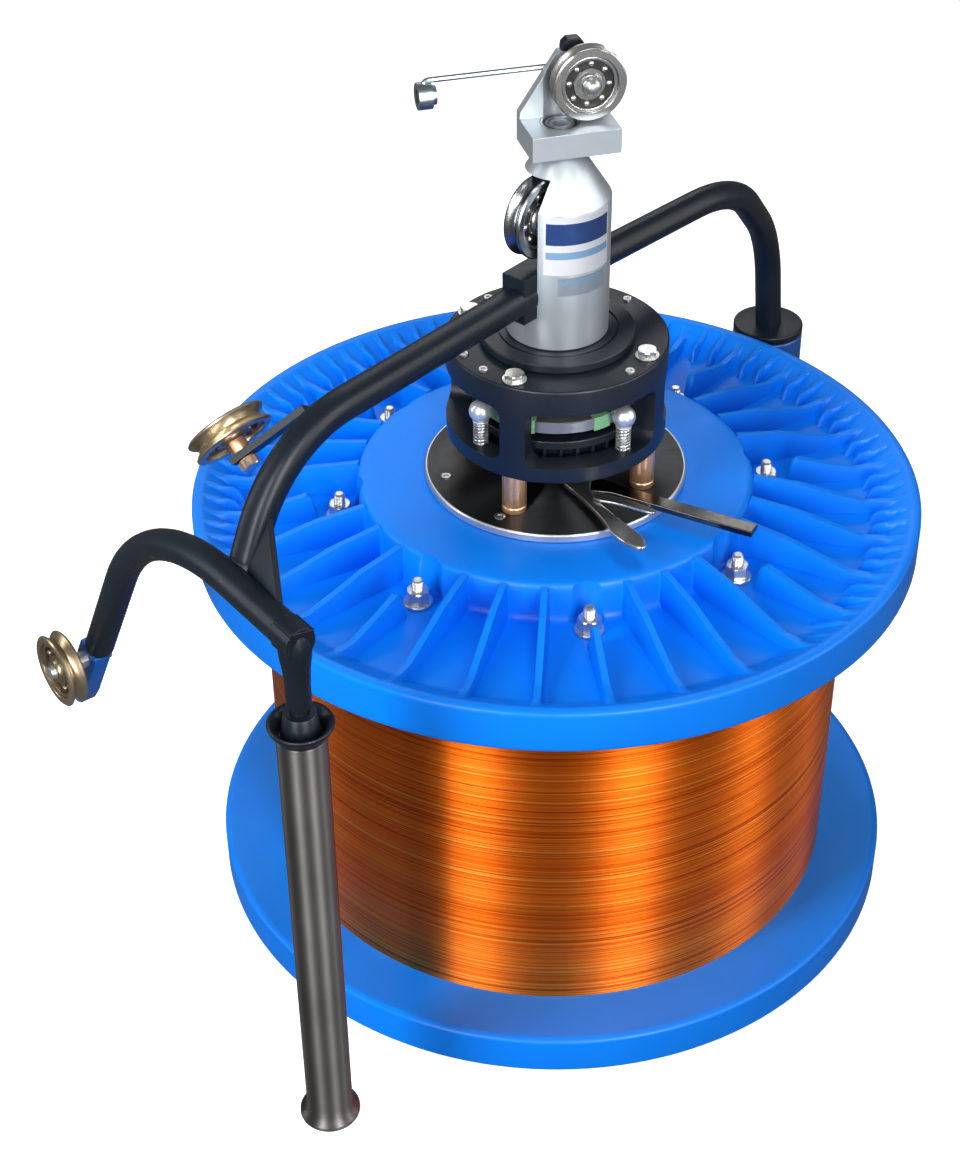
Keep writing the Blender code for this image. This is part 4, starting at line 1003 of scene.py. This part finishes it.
def lug():
    """The flat blue lug at the cross tube's end, set square to the tube."""
    end = branch_point(0.2965, 0.2665)
    along = (end - branch_point(0.186, BRANCH_Z)).normalized()
    out = polar(1.0, BRANCH_AZ + 90.0)
    basis = Matrix((out.cross(along), along, -out)).transposed().to_4x4()
    right = [(0.0105, 0.0), (0.0118, 0.004), (0.0118, 0.060), (0.0100, 0.078), (0.0060, 0.0845)]
    outline = right + [(-x, y) for x, y in reversed(right)]
    piece("guide_lug_plate", prism(outline, -0.0100, 0.0042), LUG_BLUE, "flyer", "lug_blue", ("guide_lug",),
          ABOUT @ Matrix.Translation(end) @ basis, sharp=30.0, bevel=0.0014, segments=3)


def mid_nut():
    """The plated nut on the middle pulley's bolt."""
    place = ABOUT @ Matrix.Translation(Vector((-0.20618, -0.19076, 0.50361))) @ turned(-MID_AXIS)
    piece("mid_nut", nut(M8_FLATS, 0.0032, 0.0098), ZINC, "flyer", "zinc", matrix=place, sharp=28.0)


def pliers():
    """The pliers' moving handle and release lever, with their pressed, rounded outlines."""
    base = ABOUT @ spun(-26.1)
    handle = [(-0.008, 0.020), (0.0, 0.013), (0.024, -0.015), (0.0225, -0.034), (0.030, -0.042),
              (0.050, -0.0535), (0.072, -0.0690), (0.086, -0.0815), (0.098, -0.0885), (0.108, -0.0905),
              (0.1145, -0.0895), (0.1150, -0.0840), (0.108, -0.0765), (0.094, -0.0690), (0.072, -0.0575),
              (0.050, -0.0410), (0.041, -0.022), (0.016, 0.011), (-0.004, 0.024)]
    piece("pliers_handle_pressed", prism(smoothed(handle), *heights("pliers_handle")), CHROME,
          "moving_handle", "chrome", ("pliers_handle",), base, sharp=40.0, bevel=0.0014, segments=3)
    lever = [(-0.004, 0.0), (0.0, 0.004), (0.012, 0.0058), (0.030, 0.0050), (0.042, 0.0038), (0.0455, 0.001),
             (0.042, -0.0018), (0.020, -0.0022), (0.0, -0.004)]
    hinge = base @ Matrix.Translation(Vector((0.060, -0.049, 0.0)))
    piece("release_lever_pressed", prism(smoothed(lever), *heights("pliers_release_lever")), CHROME,
          "release_lever", "chrome", ("pliers_release_lever",), hinge, sharp=40.0, bevel=0.0008)


# ---------------------------------------------------------------- the studio
def studio_floor():
    """A pale floor that glows a little, unseen by reflections."""
    bpy.ops.mesh.primitive_plane_add(size=1.0)
    floor = bpy.context.object
    floor.name = "studio_floor"
    floor.scale = (14.0, 14.0, 1.0)
    floor.location = (0.0, 0.0, -0.0012)
    paint, tree, shader = nodes_of("pale floor")
    grain = add_noise(tree, 2.0, 2.0)
    add_ramp(tree, grain, shader.inputs["Base Color"], ((0.3, (0.90, 0.90, 0.90)), (0.7, (0.94, 0.94, 0.94))))
    shader.inputs["Roughness"].default_value = 0.9
    shader.inputs["Emission Color"].default_value = (1.0, 1.0, 1.0, 1.0)
    shader.inputs["Emission Strength"].default_value = 0.62
    floor.data.materials.append(paint)
    floor.visible_glossy = False
    floor.visible_diffuse = False


def studio_lights():
    """Soft boxes that light the surfaces, and narrow strips that only show as streaks in the metals."""
    world = bpy.data.worlds.new("studio")
    world.use_nodes = True
    background = world.node_tree.nodes["Background"]
    background.inputs["Color"].default_value = (1.0, 1.0, 1.0, 1.0)
    background.inputs["Strength"].default_value = 0.15
    bpy.context.scene.world = world
    boxes = (
        ("left_box", (-1.35, -1.20, 1.15), (0.6, 1.6), 38.0),
        ("front_box", (0.60, -1.95, 1.10), (0.6, 1.6), 36.0),
        ("back_box", (-0.9, 1.5, 1.3), (0.8, 1.2), 13.0),
        ("top_box", (0.3, 0.3, 2.2), (0.7, 0.7), 10.0),
    )
    strips = (
        ("left_strip", (-0.76, -1.71, 1.20), (0.36, 1.9), 46.0),
        ("front_strip", (0.96, -1.66, 1.20), (0.42, 1.9), 52.0),
        ("right_strip", (1.83, -0.56, 1.05), (0.24, 1.8), 20.0),
        ("far_strip", (1.86, 0.36, 1.00), (0.18, 1.6), 8.0),
        ("side_strip", (-1.79, 0.0, 1.00), (0.20, 1.6), 9.0),
        ("back_strip", (0.1, 2.1, 1.7), (1.4, 0.5), 7.0),
    )
    for name, place, size, power in boxes + strips:
        light = bpy.data.lights.new(name, "AREA")
        light.shape = "RECTANGLE"
        light.size, light.size_y = size
        light.energy = power
        obj = bpy.data.objects.new(name, light)
        bpy.context.scene.collection.objects.link(obj)
        obj.location = place
        aim = Vector((0.06, 0.03, 0.30)) - Vector(place)
        obj.rotation_euler = aim.to_track_quat("-Z", "Y").to_euler()
        obj.visible_diffuse = name.endswith("box")
        obj.visible_glossy = name.endswith("strip")


def studio_camera():
    """The photograph's view: down at the upper flange from the front, with a slight roll."""
    lens = bpy.data.cameras.new("view")
    lens.sensor_fit = "VERTICAL"
    lens.sensor_height = 36.0
    lens.lens = 65.9
    lens.clip_start = 0.05
    camera = bpy.data.objects.new("view", lens)
    bpy.context.scene.collection.objects.link(camera)
    tilt, roll, pan = math.radians(53.48268), math.radians(0.503705), math.radians(2.106336)
    camera.location = (AX.x, AX.y - 1.358, 1.27086)
    camera.rotation_euler = (tilt, roll, pan)
    bpy.context.scene.camera = camera
    bpy.context.scene.view_settings.view_transform = "Standard"


upper_flange()
lower_flange()
winding()
tie_bolts()
hub_plate()
pillars()
cage()
pressure_ring()
brake_disc()
flyer_cap()
adjusters()
column()
labels()
left_arm()
right_arm()
counterweight()
roller()
pulleys()
small_parts()
bearing()
pliers()
lug()
mid_nut()
studio_floor()
studio_lights()
studio_camera()
